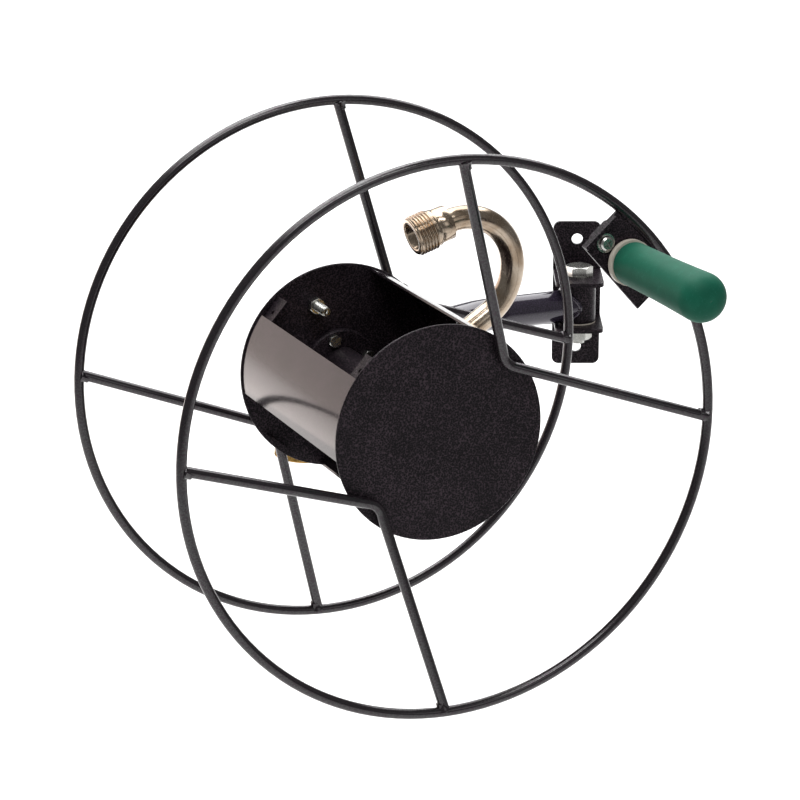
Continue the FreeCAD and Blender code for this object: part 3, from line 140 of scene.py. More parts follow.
class Axes:
    """A right-handed local frame: local z along a direction, local y as near as can be to a hint."""

    def __init__(self, origin, z, y_hint):
        self.origin = np.asarray(origin, float)
        self.z = unit(z)
        self.x = unit(np.cross(y_hint, self.z))
        self.y = np.cross(self.z, self.x)

    def to_row(self, points):
        """Local points (..., 3) to the row frame: origin plus each coordinate times its axis."""
        points = np.asarray(points, float)
        return (self.origin + points[..., 0:1] * self.x + points[..., 1:2] * self.y
                + points[..., 2:3] * self.z)

    def to_local(self, points):
        """Row points (..., 3) to local ones: the offsets from the origin measured along each axis."""
        offset = np.asarray(points, float) - self.origin
        return np.stack([offset @ self.x, offset @ self.y, offset @ self.z], axis=-1)


UP = (0.0, 0.0, 1.0)
REEL = Axes(JOINTS["reel_spin"]["pos_m"], JOINTS["reel_spin"]["axis"], UP)
GRIP = Axes(JOINTS["grip_spin"]["pos_m"], JOINTS["grip_spin"]["axis"], UP)
OUTLET = Axes(MOUNTS["hose_outlet"]["pos_m"], MOUNTS["hose_outlet"]["axis"], UP)


def corners(node):
    """All vertices of a CAD node, in the row frame, as an (n, 3) array."""
    mesh = frame["nodes"][node].data
    flat = np.empty(len(mesh.vertices) * 3, np.float32)
    mesh.vertices.foreach_get("co", flat)
    return flat.reshape(-1, 3).astype(float)


def polar(node, axes):
    """Radius from the axis, clock angle from local y towards local x, and height, per vertex."""
    local = axes.to_local(corners(node))
    radius = np.hypot(local[:, 0], local[:, 1])
    return radius, np.arctan2(local[:, 0], local[:, 1]), local[:, 2]


def add_surface(name, points, faces):
    """A smooth mesh object from arrays of row-frame points and quads or triangles."""
    mesh = bpy.data.meshes.new(name)
    mesh.from_pydata(np.asarray(points, float).tolist(), [], [list(map(int, face)) for face in faces])
    mesh.polygons.foreach_set("use_smooth", np.full(len(mesh.polygons), True))
    mesh.update()
    item = bpy.data.objects.new(name, mesh)
    bpy.context.scene.collection.objects.link(item)
    return item


def facing_out(piece):
    """Turn a closed skin's faces outwards if its signed volume is negative."""
    work = bmesh.new()
    work.from_mesh(piece.data)
    if work.calc_volume(signed=True) < 0:
        bmesh.ops.reverse_faces(work, faces=work.faces)
    work.to_mesh(piece.data)
    work.free()
    return piece


def grid_faces(rows, columns, wrap_rows=False, wrap_columns=True):
    """Quads over a rows by columns grid, as an array of vertex numbers."""
    last_row = rows if wrap_rows else rows - 1
    last_column = columns if wrap_columns else columns - 1
    row, column = np.meshgrid(np.arange(last_row), np.arange(last_column), indexing="ij")
    below = (row + 1) % rows
    beside = (column + 1) % columns
    quads = np.stack([row * columns + column, row * columns + beside,
                      below * columns + beside, below * columns + column], axis=-1)
    return quads.reshape(-1, 4)


def cap_faces(first, count, flip=False):
    """One polygon over a closed row of points."""
    order = list(range(first, first + count))
    return [order[::-1] if flip else order]


def shell_of_revolution(radius, height, turns):
    """Points at radius(i) and height(i), turned round local z in equal steps."""
    angle = np.linspace(0, 2 * math.pi, turns, endpoint=False)
    ring_r = np.broadcast_to(np.asarray(radius)[:, None], (len(radius), turns))
    ring_z = np.broadcast_to(np.asarray(height)[:, None], (len(height), turns))
    return np.stack([ring_r * np.cos(angle), ring_r * np.sin(angle), ring_z], axis=-1)


# ------------------------------------------------------------------ material tools

def new_material(name):
    """An empty node material with its output, principled shader and object coordinates."""
    material = bpy.data.materials.new(name)
    material.use_nodes = True
    tree = material.node_tree
    tree.nodes.clear()
    output = tree.nodes.new("ShaderNodeOutputMaterial")
    shader = tree.nodes.new("ShaderNodeBsdfPrincipled")
    place = tree.nodes.new("ShaderNodeTexCoord")
    tree.links.new(shader.outputs["BSDF"], output.inputs["Surface"])
    return material, tree, shader, place.outputs["Object"]


def node(tree, kind, links=(), **settings):
    """Add one node: settings go to its properties or, with a leading in_, to its numbered inputs."""
    made = tree.nodes.new(kind)
    for key, value in settings.items():
        if key.startswith("in_"):
            made.inputs[int(key[3:])].default_value = value
        else:
            setattr(made, key, value)
    for target, source in links:
        tree.links.new(source, made.inputs[target])
    return made


def per_metre(size_mm):
    """Texture scale that repeats once in the given number of millimetres."""
    return 1.0 / (size_mm * MM)


def finish_nodes(names, material):
    """Give each named CAD node one material."""
    for name in names:
        slots = frame["nodes"][name].data.materials
        slots.clear()
        slots.append(material)


def ramp(tree, source, stops):
    """A colour ramp with the given (position, colour) stops."""
    made = node(tree, "ShaderNodeValToRGB", [("Fac", source)])
    bar = made.color_ramp
    while len(bar.elements) < len(stops):
        bar.elements.new(0.5)
    for element, (position, value) in zip(bar.elements, stops):
        element.position = position
        element.color = value
    return made


def colour_from(tree, shader, source, stops):
    """Base colour from a pattern through a colour ramp."""
    tone = ramp(tree, source, stops)
    tree.links.new(tone.outputs["Color"], shader.inputs["Base Color"])


def roughness_from(tree, shader, source, smooth, rough, top=0.7):
    """Roughness from a pattern: 0.3 gives the smooth value, and top gives the rough one."""
    spread = node(tree, "ShaderNodeMapRange", [(0, source)], in_1=0.3, in_2=top, in_3=smooth, in_4=rough)
    tree.links.new(spread.outputs[0], shader.inputs["Roughness"])


def bump_from(tree, shader, source, strength, height_mm):
    """Bend the shader's normal by a height pattern."""
    bump = node(tree, "ShaderNodeBump", [("Height", source)])
    bump.inputs["Strength"].default_value = strength
    bump.inputs["Distance"].default_value = height_mm * MM
    tree.links.new(bump.outputs["Normal"], shader.inputs["Normal"])


def maths(tree, operation, first, second):
    """The product or sum of two patterns."""
    return node(tree, "ShaderNodeMath", [(0, first), (1, second)], operation=operation).outputs[0]


# ------------------------------------------------------------------ materials

def silver_vein_powder_coat(name, finishes, gloss=0.36, shine=0.1, relief=0.25, metal=0.5):
    """Baked powder coat: a black ground with silver pigment drawn up into fine veins.

    To the eye: near black, a fine warm salt-and-pepper grain, a soft highlight broken by the grain.
    The grain is drawn 0.9 mm across, a little coarser than the real one, so that it shows."""
    material, tree, shader, place = new_material(name)
    grain = node(tree, "ShaderNodeTexNoise", [("Vector", place)], in_2=per_metre(0.9), in_3=4.0, in_4=0.7)
    cells = node(tree, "ShaderNodeTexVoronoi", [("Vector", place)], feature="F1", in_2=per_metre(1.15))
    cloud = node(tree, "ShaderNodeTexNoise", [("Vector", place)], in_2=per_metre(26.0), in_3=2.0)
    edge = maths(tree, "MULTIPLY", grain.outputs["Fac"], cells.outputs["Distance"])
    drift = maths(tree, "MULTIPLY", cloud.outputs["Fac"], edge)
    veins = maths(tree, "ADD", edge, drift)
    flecks = ramp(tree, veins, [(0.26, (0, 0, 0, 1)), (0.48, (0.45, 0.45, 0.45, 1)), (0.7, (1, 1, 1, 1))])
    tint = node(tree, "ShaderNodeMix", data_type="RGBA")
    tree.links.new(flecks.outputs["Color"], tint.inputs["Factor"])
    tint.inputs["A"].default_value = finishes.powder
    tint.inputs["B"].default_value = finishes.vein
    tree.links.new(tint.outputs["Result"], shader.inputs["Base Color"])
    pigment = node(tree, "ShaderNodeMath", [(0, flecks.outputs["Color"])], operation="MULTIPLY", in_1=metal)
    tree.links.new(pigment.outputs[0], shader.inputs["Metallic"])
    roughness_from(tree, shader, grain.outputs["Fac"], gloss - 0.06, gloss + 0.1)
    bump_from(tree, shader, veins, relief, 0.1)
    shader.inputs["Specular IOR Level"].default_value = shine
    return material


def gloss_enamel(finishes):
    """Stoved enamel over drawn tube, with some metallic pigment.

    To the eye: almost black with a violet cast, glossy, slight orange peel about 3 mm across."""
    material, tree, shader, place = new_material("stoved_gloss_enamel")
    peel = node(tree, "ShaderNodeTexNoise", [("Vector", place)], in_2=per_metre(3.0), in_3=2.0)
    dust = node(tree, "ShaderNodeTexNoise", [("Vector", place)], in_2=per_metre(0.9), in_3=3.0)
    colour_from(tree, shader, dust.outputs["Fac"], [(0.35, finishes.enamel), (0.8, linear("#3a3342"))])
    roughness_from(tree, shader, peel.outputs["Fac"], 0.1, 0.16)
    bump_from(tree, shader, peel.outputs["Fac"], 0.1, 0.2)
    shader.inputs["Metallic"].default_value = 0.25
    shader.inputs["Coat Weight"].default_value = 0.6
    shader.inputs["Coat Roughness"].default_value = 0.08
    return material


def plated_metal(name, base, worn, rough):
    """Metal with fine directional scuffs and faint cloudy tarnish: even gloss broken by streaks."""
    scratch_mm, stain = 0.5, 0.25
    material, tree, shader, place = new_material(name)
    stretch = node(tree, "ShaderNodeMapping", [("Vector", place)], vector_type="POINT")
    stretch.inputs["Scale"].default_value = (1.0, 1.0, 0.15)
    scuffs = node(tree, "ShaderNodeTexNoise", [("Vector", stretch.outputs[0])], in_2=per_metre(scratch_mm),
                  in_3=3.0)
    cloud = node(tree, "ShaderNodeTexNoise", [("Vector", place)], in_2=per_metre(14.0), in_3=4.0, in_4=0.6)
    colour_from(tree, shader, cloud.outputs["Fac"], [(0.5 - stain, base), (0.5 + stain, worn)])
    roughness_from(tree, shader, scuffs.outputs["Fac"], rough - 0.05, rough + 0.14, top=0.75)
    bump_from(tree, shader, scuffs.outputs["Fac"], 0.15, 0.03)
    shader.inputs["Metallic"].default_value = 1.0
    return material


def dipped_vinyl(finishes):
    """Plastisol-dipped grip: dull green with a fine pebble, a milky bloom and a few rubbed patches."""
    material, tree, shader, place = new_material("dipped_vinyl")
    pebble = node(tree, "ShaderNodeTexVoronoi", [("Vector", place)], feature="SMOOTH_F1", in_2=per_metre(0.9))
    bloom = node(tree, "ShaderNodeTexNoise", [("Vector", place)], in_2=per_metre(9.0), in_3=5.0, in_4=0.6)
    dust = node(tree, "ShaderNodeTexNoise", [("Vector", place)], in_2=per_metre(1.2), in_3=3.0)
    tone = ramp(tree, bloom.outputs["Fac"], [(0.3, finishes.vinyl), (0.55, linear("#0f5340")),
                                             (0.8, linear("#175c48"))])
    speck = ramp(tree, dust.outputs["Fac"], [(0.62, (0, 0, 0, 1)), (0.72, (0.35, 0.35, 0.35, 1))])
    tint = node(tree, "ShaderNodeMix", data_type="RGBA")
    tree.links.new(speck.outputs["Color"], tint.inputs["Factor"])
    tree.links.new(tone.outputs["Color"], tint.inputs["A"])
    tint.inputs["B"].default_value = linear("#2d7260")
    tree.links.new(tint.outputs["Result"], shader.inputs["Base Color"])
    pits = maths(tree, "ADD", pebble.outputs["Distance"], dust.outputs["Fac"])
    bump_from(tree, shader, pits, 0.3, 0.12)
    shader.inputs["Roughness"].default_value = 0.55
    shader.inputs["Specular IOR Level"].default_value = 0.12
    shader.inputs["Sheen Weight"].default_value = 0.02
    return material


def moulded_nylon(finishes):
    """Moulded nylon: milky off-white with soft edges to its colour and a waxy gloss."""
    material, tree, shader, place = new_material("moulded_nylon")
    cloud = node(tree, "ShaderNodeTexNoise", [("Vector", place)], in_2=per_metre(6.0), in_3=3.0)
    colour_from(tree, shader, cloud.outputs["Fac"], [(0.3, finishes.nylon), (0.8, linear("#b9b0a4"))])
    shader.inputs["Roughness"].default_value = 0.38
    shader.inputs["Subsurface Weight"].default_value = 0.15
    shader.inputs["Subsurface Radius"].default_value = (2 * MM, 2 * MM, 2 * MM)
    return material


def moulded_black(name, code, rough):
    """Dull black rubber or plastic with a faint grain about 0.8 mm across."""
    material, tree, shader, place = new_material(name)
    grain = node(tree, "ShaderNodeTexNoise", [("Vector", place)], in_2=per_metre(0.8), in_3=3.0)
    colour_from(tree, shader, grain.outputs["Fac"], [(0.3, linear(code)), (0.8, linear("#2b2b2c"))])
    shader.inputs["Roughness"].default_value = rough
    return material


def studio_paper():
    """Pale seamless paper: an even matt off-white with a barely visible fibre mottle."""
    material, tree, shader, place = new_material("seamless_paper")
    mottle = node(tree, "ShaderNodeTexNoise", [("Vector", place)], in_2=per_metre(60.0), in_3=2.0)
    colour_from(tree, shader, mottle.outputs["Fac"], [(0.3, linear("#fafafa")), (0.8, linear("#fdfdfd"))])
    shader.inputs["Roughness"].default_value = 0.9
    return material


# ------------------------------------------------------------------ detail pieces

def thread_surface(root, crest, pitch, start, stop, turns):
    """Points of a screw thread over angle and height: root plus depth times a triangle wave, clipped flat
    at root and crest, whose phase is height over pitch minus angle over a full turn. It fades to the
    root over half a pitch at both ends."""
    flat, rows_per_pitch = 0.3, 14
    height = np.linspace(start, stop, int((stop - start) / pitch * rows_per_pitch) + 1)
    angle = np.linspace(0, 2 * math.pi, turns, endpoint=False)
    phase = height[:, None] / pitch - angle[None, :] / (2 * math.pi)
    tooth = np.abs(2 * (phase % 1.0) - 1.0)
    profile = np.clip((tooth - flat / 2) / (1 - flat), 0, 1)
    fade = np.clip(np.minimum(height - start, stop - height) / (0.5 * pitch), 0, 1)[:, None]
    radius = crest - (crest - root) * (1 - profile * fade)
    grid_z = np.broadcast_to(height[:, None], radius.shape)
    return np.stack([radius * np.cos(angle), radius * np.sin(angle), grid_z], axis=-1)


def revolve_rows(rows, turns):
    """Profile rows of (radius, height) as grids of points round local z."""
    radius, height = np.asarray(rows, float).T
    return shell_of_revolution(radius, height, turns)


def closed_lathe(name, axes, grids):
    """One closed skin from grids of rings stacked in order, the first joined to the last."""
    points = np.concatenate([grid.reshape(-1, 3) for grid in grids])
    turns = grids[0].shape[1]
    rows = len(points) // turns
    faces = grid_faces(rows, turns, wrap_rows=True)
    return facing_out(add_surface(name, axes.to_row(points), faces))


def hose_thread_piece(sizes, material):
    """The outlet fitting with a true screw thread in place of plain rings.

    A turned skin: bevelled collar, neck groove, six turns of thread, bevelled mouth, bore and tube socket."""
    radius, _, height = polar("outlet_fitting", OUTLET)
    turns, thread_turns, on_end = 96, 6, 0.2 * MM
    bevel, mouth_bevel, tube_gap = 0.5 * MM, 0.4 * MM, 0.05 * MM
    crest = radius.max()
    low, high = height.min(), height.max()
    tube_radius = radius.min()
    collar = radius[np.abs(height - low) < on_end].max()
    bore = radius[np.abs(height - high) < on_end].min()
    root = crest - sizes.thread_depth
    socket = height[np.abs(radius - tube_radius) < tube_gap].max()
    inside = tube_radius + tube_gap
    thread_low = high - thread_turns * sizes.thread_pitch - 1.4 * MM
    outside = revolve_rows([(inside, low), (collar - bevel, low), (collar, low + bevel),
                            (collar, thread_low - 3.0 * MM), (collar - 0.4 * MM, thread_low - 2.5 * MM),
                            (root, thread_low - 2.2 * MM), (root, thread_low - 0.3 * MM)], turns)
    thread = thread_surface(root, crest, sizes.thread_pitch, thread_low, high - 0.7 * MM, turns)
    mouth = revolve_rows([(root, high - bevel), (root - bevel, high), (bore + mouth_bevel, high),
                          (bore, high - mouth_bevel), (bore, socket), (inside, socket),
                          (inside, (low + socket) / 2)], turns)
    piece = closed_lathe("outlet_thread", OUTLET, [outside, thread, mouth])
    piece.data.materials.append(material)
    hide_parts("outlet_fitting")
    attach(piece, "reel")


def stud_threads(sizes, material):
    """Screw threads over the bare ends of the drum studs: thin threaded sleeves with bevelled tips."""
    turns, depth, wall, cap = 36, 0.4 * MM, 1.0 * MM, 0.3 * MM
    local = REEL.to_local(corners("drum_studs"))
    front = local[:, 2].max()
    tips = local[np.abs(local[:, 2] - front) < 0.1 * MM]
    left = tips[:, 0] < tips[:, 0].mean()
    nut_front = REEL.to_local(corners("drum_stud_nuts"))[:, 2].max()
    for index, cluster in enumerate((tips[left], tips[~left])):
        middle = (cluster.min(0) + cluster.max(0)) / 2
        radius = (cluster[:, 0].max() - cluster[:, 0].min()) / 2
        axes = Axes(REEL.to_row(np.array([middle[0], middle[1], 0.0])), REEL.z, UP)
        root = radius + 0.02 * MM
        thread = thread_surface(root, root + depth, sizes.stud_pitch, nut_front - cap, front - 2 * cap, turns)
        tip = revolve_rows([(radius + 0.05 * MM, front - cap), (radius - 0.5 * MM, front + cap),
                            (0.4 * MM, front + cap), (0.4 * MM, front - cap),
                            (radius - wall, front - 0.5 * MM), (radius - wall, nut_front)], turns)
        piece = closed_lathe("stud_thread_%d" % index, axes, [thread, tip])
        piece.data.materials.append(material)
        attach(piece, "reel")


def grip_piece(sizes, material):
    """Soft grip: a turned skin with a rolled lip, a slight waist and a round closed end.

    Radius over length runs straight from heel to nose, less a waist that follows half a sine. The lip is a
    quarter circle and the tip a superellipse dome, and the inside follows the core."""
    turns, lip, dome = 128, 2.2 * MM, 14.0 * MM
    pole, core_gap = 0.02 * MM, 0.1 * MM
    radius, _, height = polar("grip_cover", GRIP)
    outer, low, high = radius.max(), height.min(), height.max()
    heel = radius[height < low + 0.5 * MM].max()
    core_radius, _, core_height = polar("grip_core", GRIP)
    inner = core_radius.max() + core_gap
    core_end = core_height.max() + core_gap
    angle = np.linspace(0, math.pi / 2, 10)
    heel_r = heel - lip + lip * np.sin(angle)
    heel_z = low + lip - lip * np.cos(angle)
    body_z = np.linspace(low + lip, high - dome, 60)[1:]
    share = (body_z - body_z[0]) / (body_z[-1] - body_z[0])
    body_r = heel + (outer - heel) * share - sizes.grip_swell * np.sin(math.pi * share)
    sweep = np.linspace(0, math.pi / 2, 28)[1:]
    dome_r = outer * np.cos(sweep) ** 0.78
    dome_z = high - dome + dome * np.sin(sweep) ** 0.9
    dome_r[-1] = pole
    cave_r = np.array([pole, inner, inner, inner])
    cave_z = np.array([core_end, core_end, (core_end + low) / 2, low + 0.4 * MM])
    radii = np.concatenate([heel_r, body_r, dome_r, cave_r])
    heights = np.concatenate([heel_z, body_z, dome_z, cave_z])
    grid = shell_of_revolution(radii, heights, turns)
    piece = closed_lathe("grip_skin", GRIP, [grid])
    piece.data.materials.append(material)
    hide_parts("grip_cover")
    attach(piece, "grip")


def bead(name, path, closed, leg, ripple, body, material):
    """A weld bead: a rippled round section carried along a path of points.

    The section is a circle of radius leg, less the ripple times the square of a sine along the run. An open
    bead's ends close as quarter circles."""
    sides, ripple_length, least_share = 16, 2.4 * MM, 0.02
    path = np.asarray(path, float)
    ahead = np.roll(path, -1, axis=0) - path
    behind = path - np.roll(path, 1, axis=0)
    if not closed:
        ahead[-1] = behind[-1]
        behind[0] = ahead[0]
    tangent = ahead + behind
    tangent /= np.linalg.norm(tangent, axis=1)[:, None]
    hint = np.where(np.abs(tangent @ np.array(UP))[:, None] > 0.9, REEL.x, np.array(UP))
    side = np.cross(tangent, hint)
    side /= np.linalg.norm(side, axis=1)[:, None]
    other = np.cross(tangent, side)
    run = np.concatenate([[0.0], np.cumsum(np.linalg.norm(np.diff(path, axis=0), axis=1))])
    section = leg - ripple * np.sin(math.pi * run / ripple_length) ** 2
    if not closed:
        ends = np.clip(np.minimum(run, run[-1] - run) / leg, 0, 1)
        section = section * np.sqrt(np.clip(1 - (1 - ends) ** 2, least_share, 1))
    angle = np.linspace(0, 2 * math.pi, sides, endpoint=False)[None, :, None]
    around = np.cos(angle) * side[:, None, :] + np.sin(angle) * other[:, None, :]
    rings = path[:, None, :] + section[:, None, None] * around
    faces = grid_faces(len(path), sides, wrap_rows=closed).tolist()
    if not closed:
        faces += cap_faces(0, sides, flip=True) + cap_faces((len(path) - 1) * sides, sides)
    piece = facing_out(add_surface(name, rings.reshape(-1, 3), faces))
    piece.data.materials.append(material)
    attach(piece, body)


def spoke_ends(spoke):
    """Local centres of a spoke's two ends on its ring and of its corner on the disc."""
    local = REEL.to_local(corners(spoke))
    radius = np.hypot(local[:, 0], local[:, 1])
    clock = np.arctan2(local[:, 0], local[:, 1])
    far = radius > radius.max() - 6 * MM
    middle = math.atan2(local[:, 0].mean(), local[:, 1].mean())
    offset = (clock - middle + math.pi) % (2 * math.pi) - math.pi
    ends = [local[far & (offset < 0)].mean(0), local[far & (offset > 0)].mean(0)]
    near = radius < radius.min() + 4 * MM
    return ends, local[near].mean(0)


def spoke_welds(sizes, material):
    """A flared collar of weld metal where each spoke end meets its ring.

    Its radius is the wire's plus a leg that falls as a power of the distance from the ring, with nine
    shallow ripples round it."""
    rows, sides, ripples = 12, 32, 9
    ring_levels = REEL.to_local(corners("front_ring"))[:, 2]
    wire = (ring_levels.max() - ring_levels.min()) / 2
    ring_radius = polar("front_ring", REEL)[0].max() - wire
    along = np.linspace(wire * 0.2, wire * 1.95, rows)
    angle = np.linspace(0, 2 * math.pi, sides, endpoint=False)
    flare = (1 - (along - along[0]) / (along[-1] - along[0])) ** 2.2
    ripple = 1 + 0.12 * np.sin(ripples * angle)
    radius = wire * 1.01 + sizes.weld_leg * 0.75 * flare[:, None] * ripple[None, :]
    points = np.stack([radius * np.cos(angle), radius * np.sin(angle),
                       np.broadcast_to(along[:, None], radius.shape)], axis=-1).reshape(-1, 3)
    faces = grid_faces(rows, sides).tolist() + cap_faces(0, sides, flip=True)
    faces += cap_faces((rows - 1) * sides, sides)
    for spoke in [name for name in frame["nodes"] if "spoke" in name]:
        ring = spoke.split("_")[0] + "_ring"
        ring_height = REEL.to_local(corners(ring))[:, 2].mean()
        ends, corner = spoke_ends(spoke)
        for index, end in enumerate(ends):
            clock = math.atan2(end[0], end[1])
            target = np.array([ring_radius * math.sin(clock), ring_radius * math.cos(clock), ring_height])
            origin = REEL.to_row(target)
            axes = Axes(origin, REEL.to_row(target + unit(corner - target)) - origin, UP)
            piece = facing_out(add_surface("%s_weld_%d" % (spoke, index), axes.to_row(points), faces))
            piece.data.materials.append(material)
            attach(piece, "reel")


def arc_points(radius, clock_from, clock_to, height, count=60):
    """Points on a circle round the reel axis between two clock angles, in the row frame."""
    clock = np.linspace(clock_from, clock_to, count)
    level = np.full(count, height)
    return REEL.to_row(np.stack([radius * np.sin(clock), radius * np.cos(clock), level], axis=-1))


def frame_welds(sizes, material):
    """Beads along the handle bracket's edge on the ring, inside both ends of the drum's loose slat, and
    where the clevis meets the wall plate."""
    small_leg = sizes.weld_leg * 0.6
    radius, clock, height = polar("handle_bracket", REEL)
    reach = radius.max()
    front = height[radius > reach - 0.5 * MM].max()
    edge = clock[radius > reach - 1.0 * MM]
    for index, station in enumerate((front, height.min())):
        path = arc_points(reach + 0.2 * MM, edge.min() + 0.02, edge.max() - 0.02, station)
        bead("bracket_weld_%d" % index, path, False, small_leg, sizes.weld_ripple, "reel",
             material)
    radius, clock, height = polar("drum_wrap", REEL)
    degrees = np.degrees(clock) % 360
    slat = clock[(degrees > 250) & (degrees < 315)]
    for index, station in enumerate((height.max(), height.min())):
        path = arc_points(radius.min() - 0.3 * MM, slat.min() + 0.03, slat.max() - 0.03, station)
        bead("slat_weld_%d" % index, path, False, small_leg, sizes.weld_ripple, "reel",
             material)
    low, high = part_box("clevis")
    plate_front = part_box("wall_plate")[0].y
    inset, count = 3 * MM, 40
    for index, level in enumerate((low.z, high.z)):
        across = np.linspace(low.x + inset, high.x - inset, count)
        path = np.stack([across, np.full(count, plate_front), np.full(count, level)], axis=-1)
        bead("clevis_weld_%d" % index, path, False, sizes.weld_leg, sizes.weld_ripple, "wall_bracket",
             material)


def arm_welds(sizes, material):
    """Saddle beads round both coped ends of the arm tube.

    Each follows the curve where two round tubes meet: the point goes round the arm tube, and its
    distance from the other tube's axis is the root of that tube's radius squared less its offset squared."""
    sides, near_pivot, near_boss, bend_ring = 96, 40 * MM, 12 * MM, 14 * MM
    local = corners("arm_tube")
    sleeve = corners("pivot_sleeve")
    pivot = np.array(JOINTS["swing"]["pos_m"][:2])
    sleeve_radius = np.hypot(*(sleeve[:, :2] - pivot).T).max()
    level = (local[:, 2].min() + local[:, 2].max()) / 2
    tube_radius = (local[:, 2].max() - local[:, 2].min()) / 2
    near = local[np.hypot(*(local[:, :2] - pivot).T) < near_pivot]
    towards = np.append(near[:, :2].mean(0) - pivot, 0.0)
    ends = [("sleeve", np.append(pivot, level), towards, sleeve_radius, np.array(UP))]
    boss = REEL.to_local(corners("axle_boss"))
    boss_radius = np.hypot(boss[:, 0], boss[:, 1]).max()
    tip = REEL.to_local(local)
    distance = np.hypot(tip[:, 0], tip[:, 1])
    last = tip[distance < boss_radius + near_boss]
    beyond = tip[distance > boss_radius + near_boss]
    first = beyond[beyond[:, 0] < beyond[:, 0].min() + bend_ring]
    slope = (first[:, 2].mean() - last[:, 2].mean()) / (first[:, 0].mean() - last[:, 0].mean())
    start = REEL.to_row(np.array([0.0, 0.0, last[:, 2].mean() - slope * last[:, 0].mean()]))
    direction = REEL.to_row(np.array([1.0, 0.0, slope])) - REEL.to_row(np.zeros(3))
    ends.append(("boss", start, direction, boss_radius, REEL.z))
    for name, origin, direction, other_radius, other_axis in ends:
        direction = unit(direction)
        flat = unit(direction - other_axis * (direction @ other_axis))
        cross = np.cross(flat, other_axis)
        second = np.cross(direction, cross)
        angle = np.linspace(0, 2 * math.pi, sides, endpoint=False)
        offset = tube_radius * np.cos(angle)
        reach = np.sqrt(np.maximum(other_radius ** 2 - offset ** 2, 0))
        around = offset[:, None] * cross + (tube_radius * np.sin(angle))[:, None] * second
        along = (reach - around @ flat) / (direction @ flat)
        path = origin + around + along[:, None] * direction
        bead("arm_%s_weld" % name, path, True, sizes.weld_leg * 0.8, sizes.weld_ripple, "arm",
             material)


# ------------------------------------------------------------------ operators

class PieceOperator:
    bl_options = {"REGISTER", "UNDO"}

    def settings(self):
        scene = bpy.context.scene
        return scene.hose_reel_finishes, scene.hose_reel_sizes


class HOSEREEL_OT_wheels(PieceOperator, bpy.types.Operator):
    """Powder coat the wire wheels and their spokes, and weld the spokes to the rings"""
    bl_idname = "hosereel.wheels"
    bl_label = "Wheels"

    def execute(self, context):
        finishes, sizes = self.settings()
        wire = silver_vein_powder_coat("silver_vein_powder_coat_wire", finishes, gloss=0.16, shine=0.75,
                                       relief=0.12, metal=0.9)
        finish_nodes(("front_ring", "rear_ring"), wire)
        finish_nodes([name for name in frame["nodes"] if "spoke" in name], wire)
        spoke_welds(sizes, wire)
        return {"FINISHED"}


class HOSEREEL_OT_drum(PieceOperator, bpy.types.Operator):
    """Powder coat the drum, its discs, rivets and hub"""
    bl_idname = "hosereel.drum"
    bl_label = "Drum"

    def execute(self, context):
        finishes, _ = self.settings()
        sheet = silver_vein_powder_coat("silver_vein_powder_coat_sheet", finishes)
        finish_nodes(("front_disc", "rear_disc", "front_rivets", "rear_rivets", "hub"), sheet)
        wrap = silver_vein_powder_coat("silver_vein_powder_coat_wrap", finishes, gloss=0.13, shine=0.28,
                                       relief=0.1)
        finish_nodes(("drum_wrap",), wrap)
        return {"FINISHED"}


class HOSEREEL_OT_wall_bracket(PieceOperator, bpy.types.Operator):
    """Powder coat the wall plate, clevis, sleeve and handle bracket, enamel the arm, and weld them"""
    bl_idname = "hosereel.wall_bracket"
    bl_label = "Wall Bracket and Arm"

    def execute(self, context):
        finishes, sizes = self.settings()
        coat = silver_vein_powder_coat("silver_vein_powder_coat_bracket", finishes, gloss=0.28)
        finish_nodes(("wall_plate", "clevis", "handle_bracket", "handle_foot", "pivot_sleeve"), coat)
        enamel = gloss_enamel(finishes)
        finish_nodes(("arm_tube", "axle_boss"), enamel)
        frame_welds(sizes, coat)
        arm_welds(sizes, enamel)
        return {"FINISHED"}


class HOSEREEL_OT_fasteners(PieceOperator, bpy.types.Operator):
    """Zinc plate the bolts, nuts and washers, and cut threads on the drum studs"""
    bl_idname = "hosereel.fasteners"
    bl_label = "Fasteners"

    def execute(self, context):
        finishes, sizes = self.settings()
        zinc = plated_metal("bright_zinc_plate", finishes.zinc, linear("#a3a29c"), 0.24)
        finish_nodes(("pivot_bolt", "pivot_washers", "pivot_nut", "drum_studs", "drum_stud_nuts", "hub_bolts",
                      "hub_nuts", "bracket_screw", "screw_washer", "screw_nut", "handle_rod",
                      "retaining_ring"), zinc)
        stud_threads(sizes, zinc)
        return {"FINISHED"}


class HOSEREEL_OT_water_way(PieceOperator, bpy.types.Operator):
    """Finish the axle, inlet, swivel and outlet, and cut the hose thread"""
    bl_idname = "hosereel.water_way"
    bl_label = "Water Way"

    def execute(self, context):
        finishes, sizes = self.settings()
        brass = plated_metal("machined_brass", finishes.brass, linear("#8f6b2c"), 0.26)
        finish_nodes(("axle_tube", "inlet_elbow", "inlet_nut", "swivel_body"), brass)
        bronze = plated_metal("sintered_bronze", linear("#8c6a42"), linear("#5f4527"), 0.45)
        finish_nodes(("hub_bushes",), bronze)
        nickel = plated_metal("satin_nickel_plate", finishes.nickel, linear("#8f7a64"), 0.17)
        finish_nodes(("outlet_tube", "outlet_fitting"), nickel)
        rubber = moulded_black("nitrile_rubber", "#141414", 0.6)
        finish_nodes(("axle_seals", "inlet_washer"), rubber)
        hose_thread_piece(sizes, nickel)
        return {"FINISHED"}


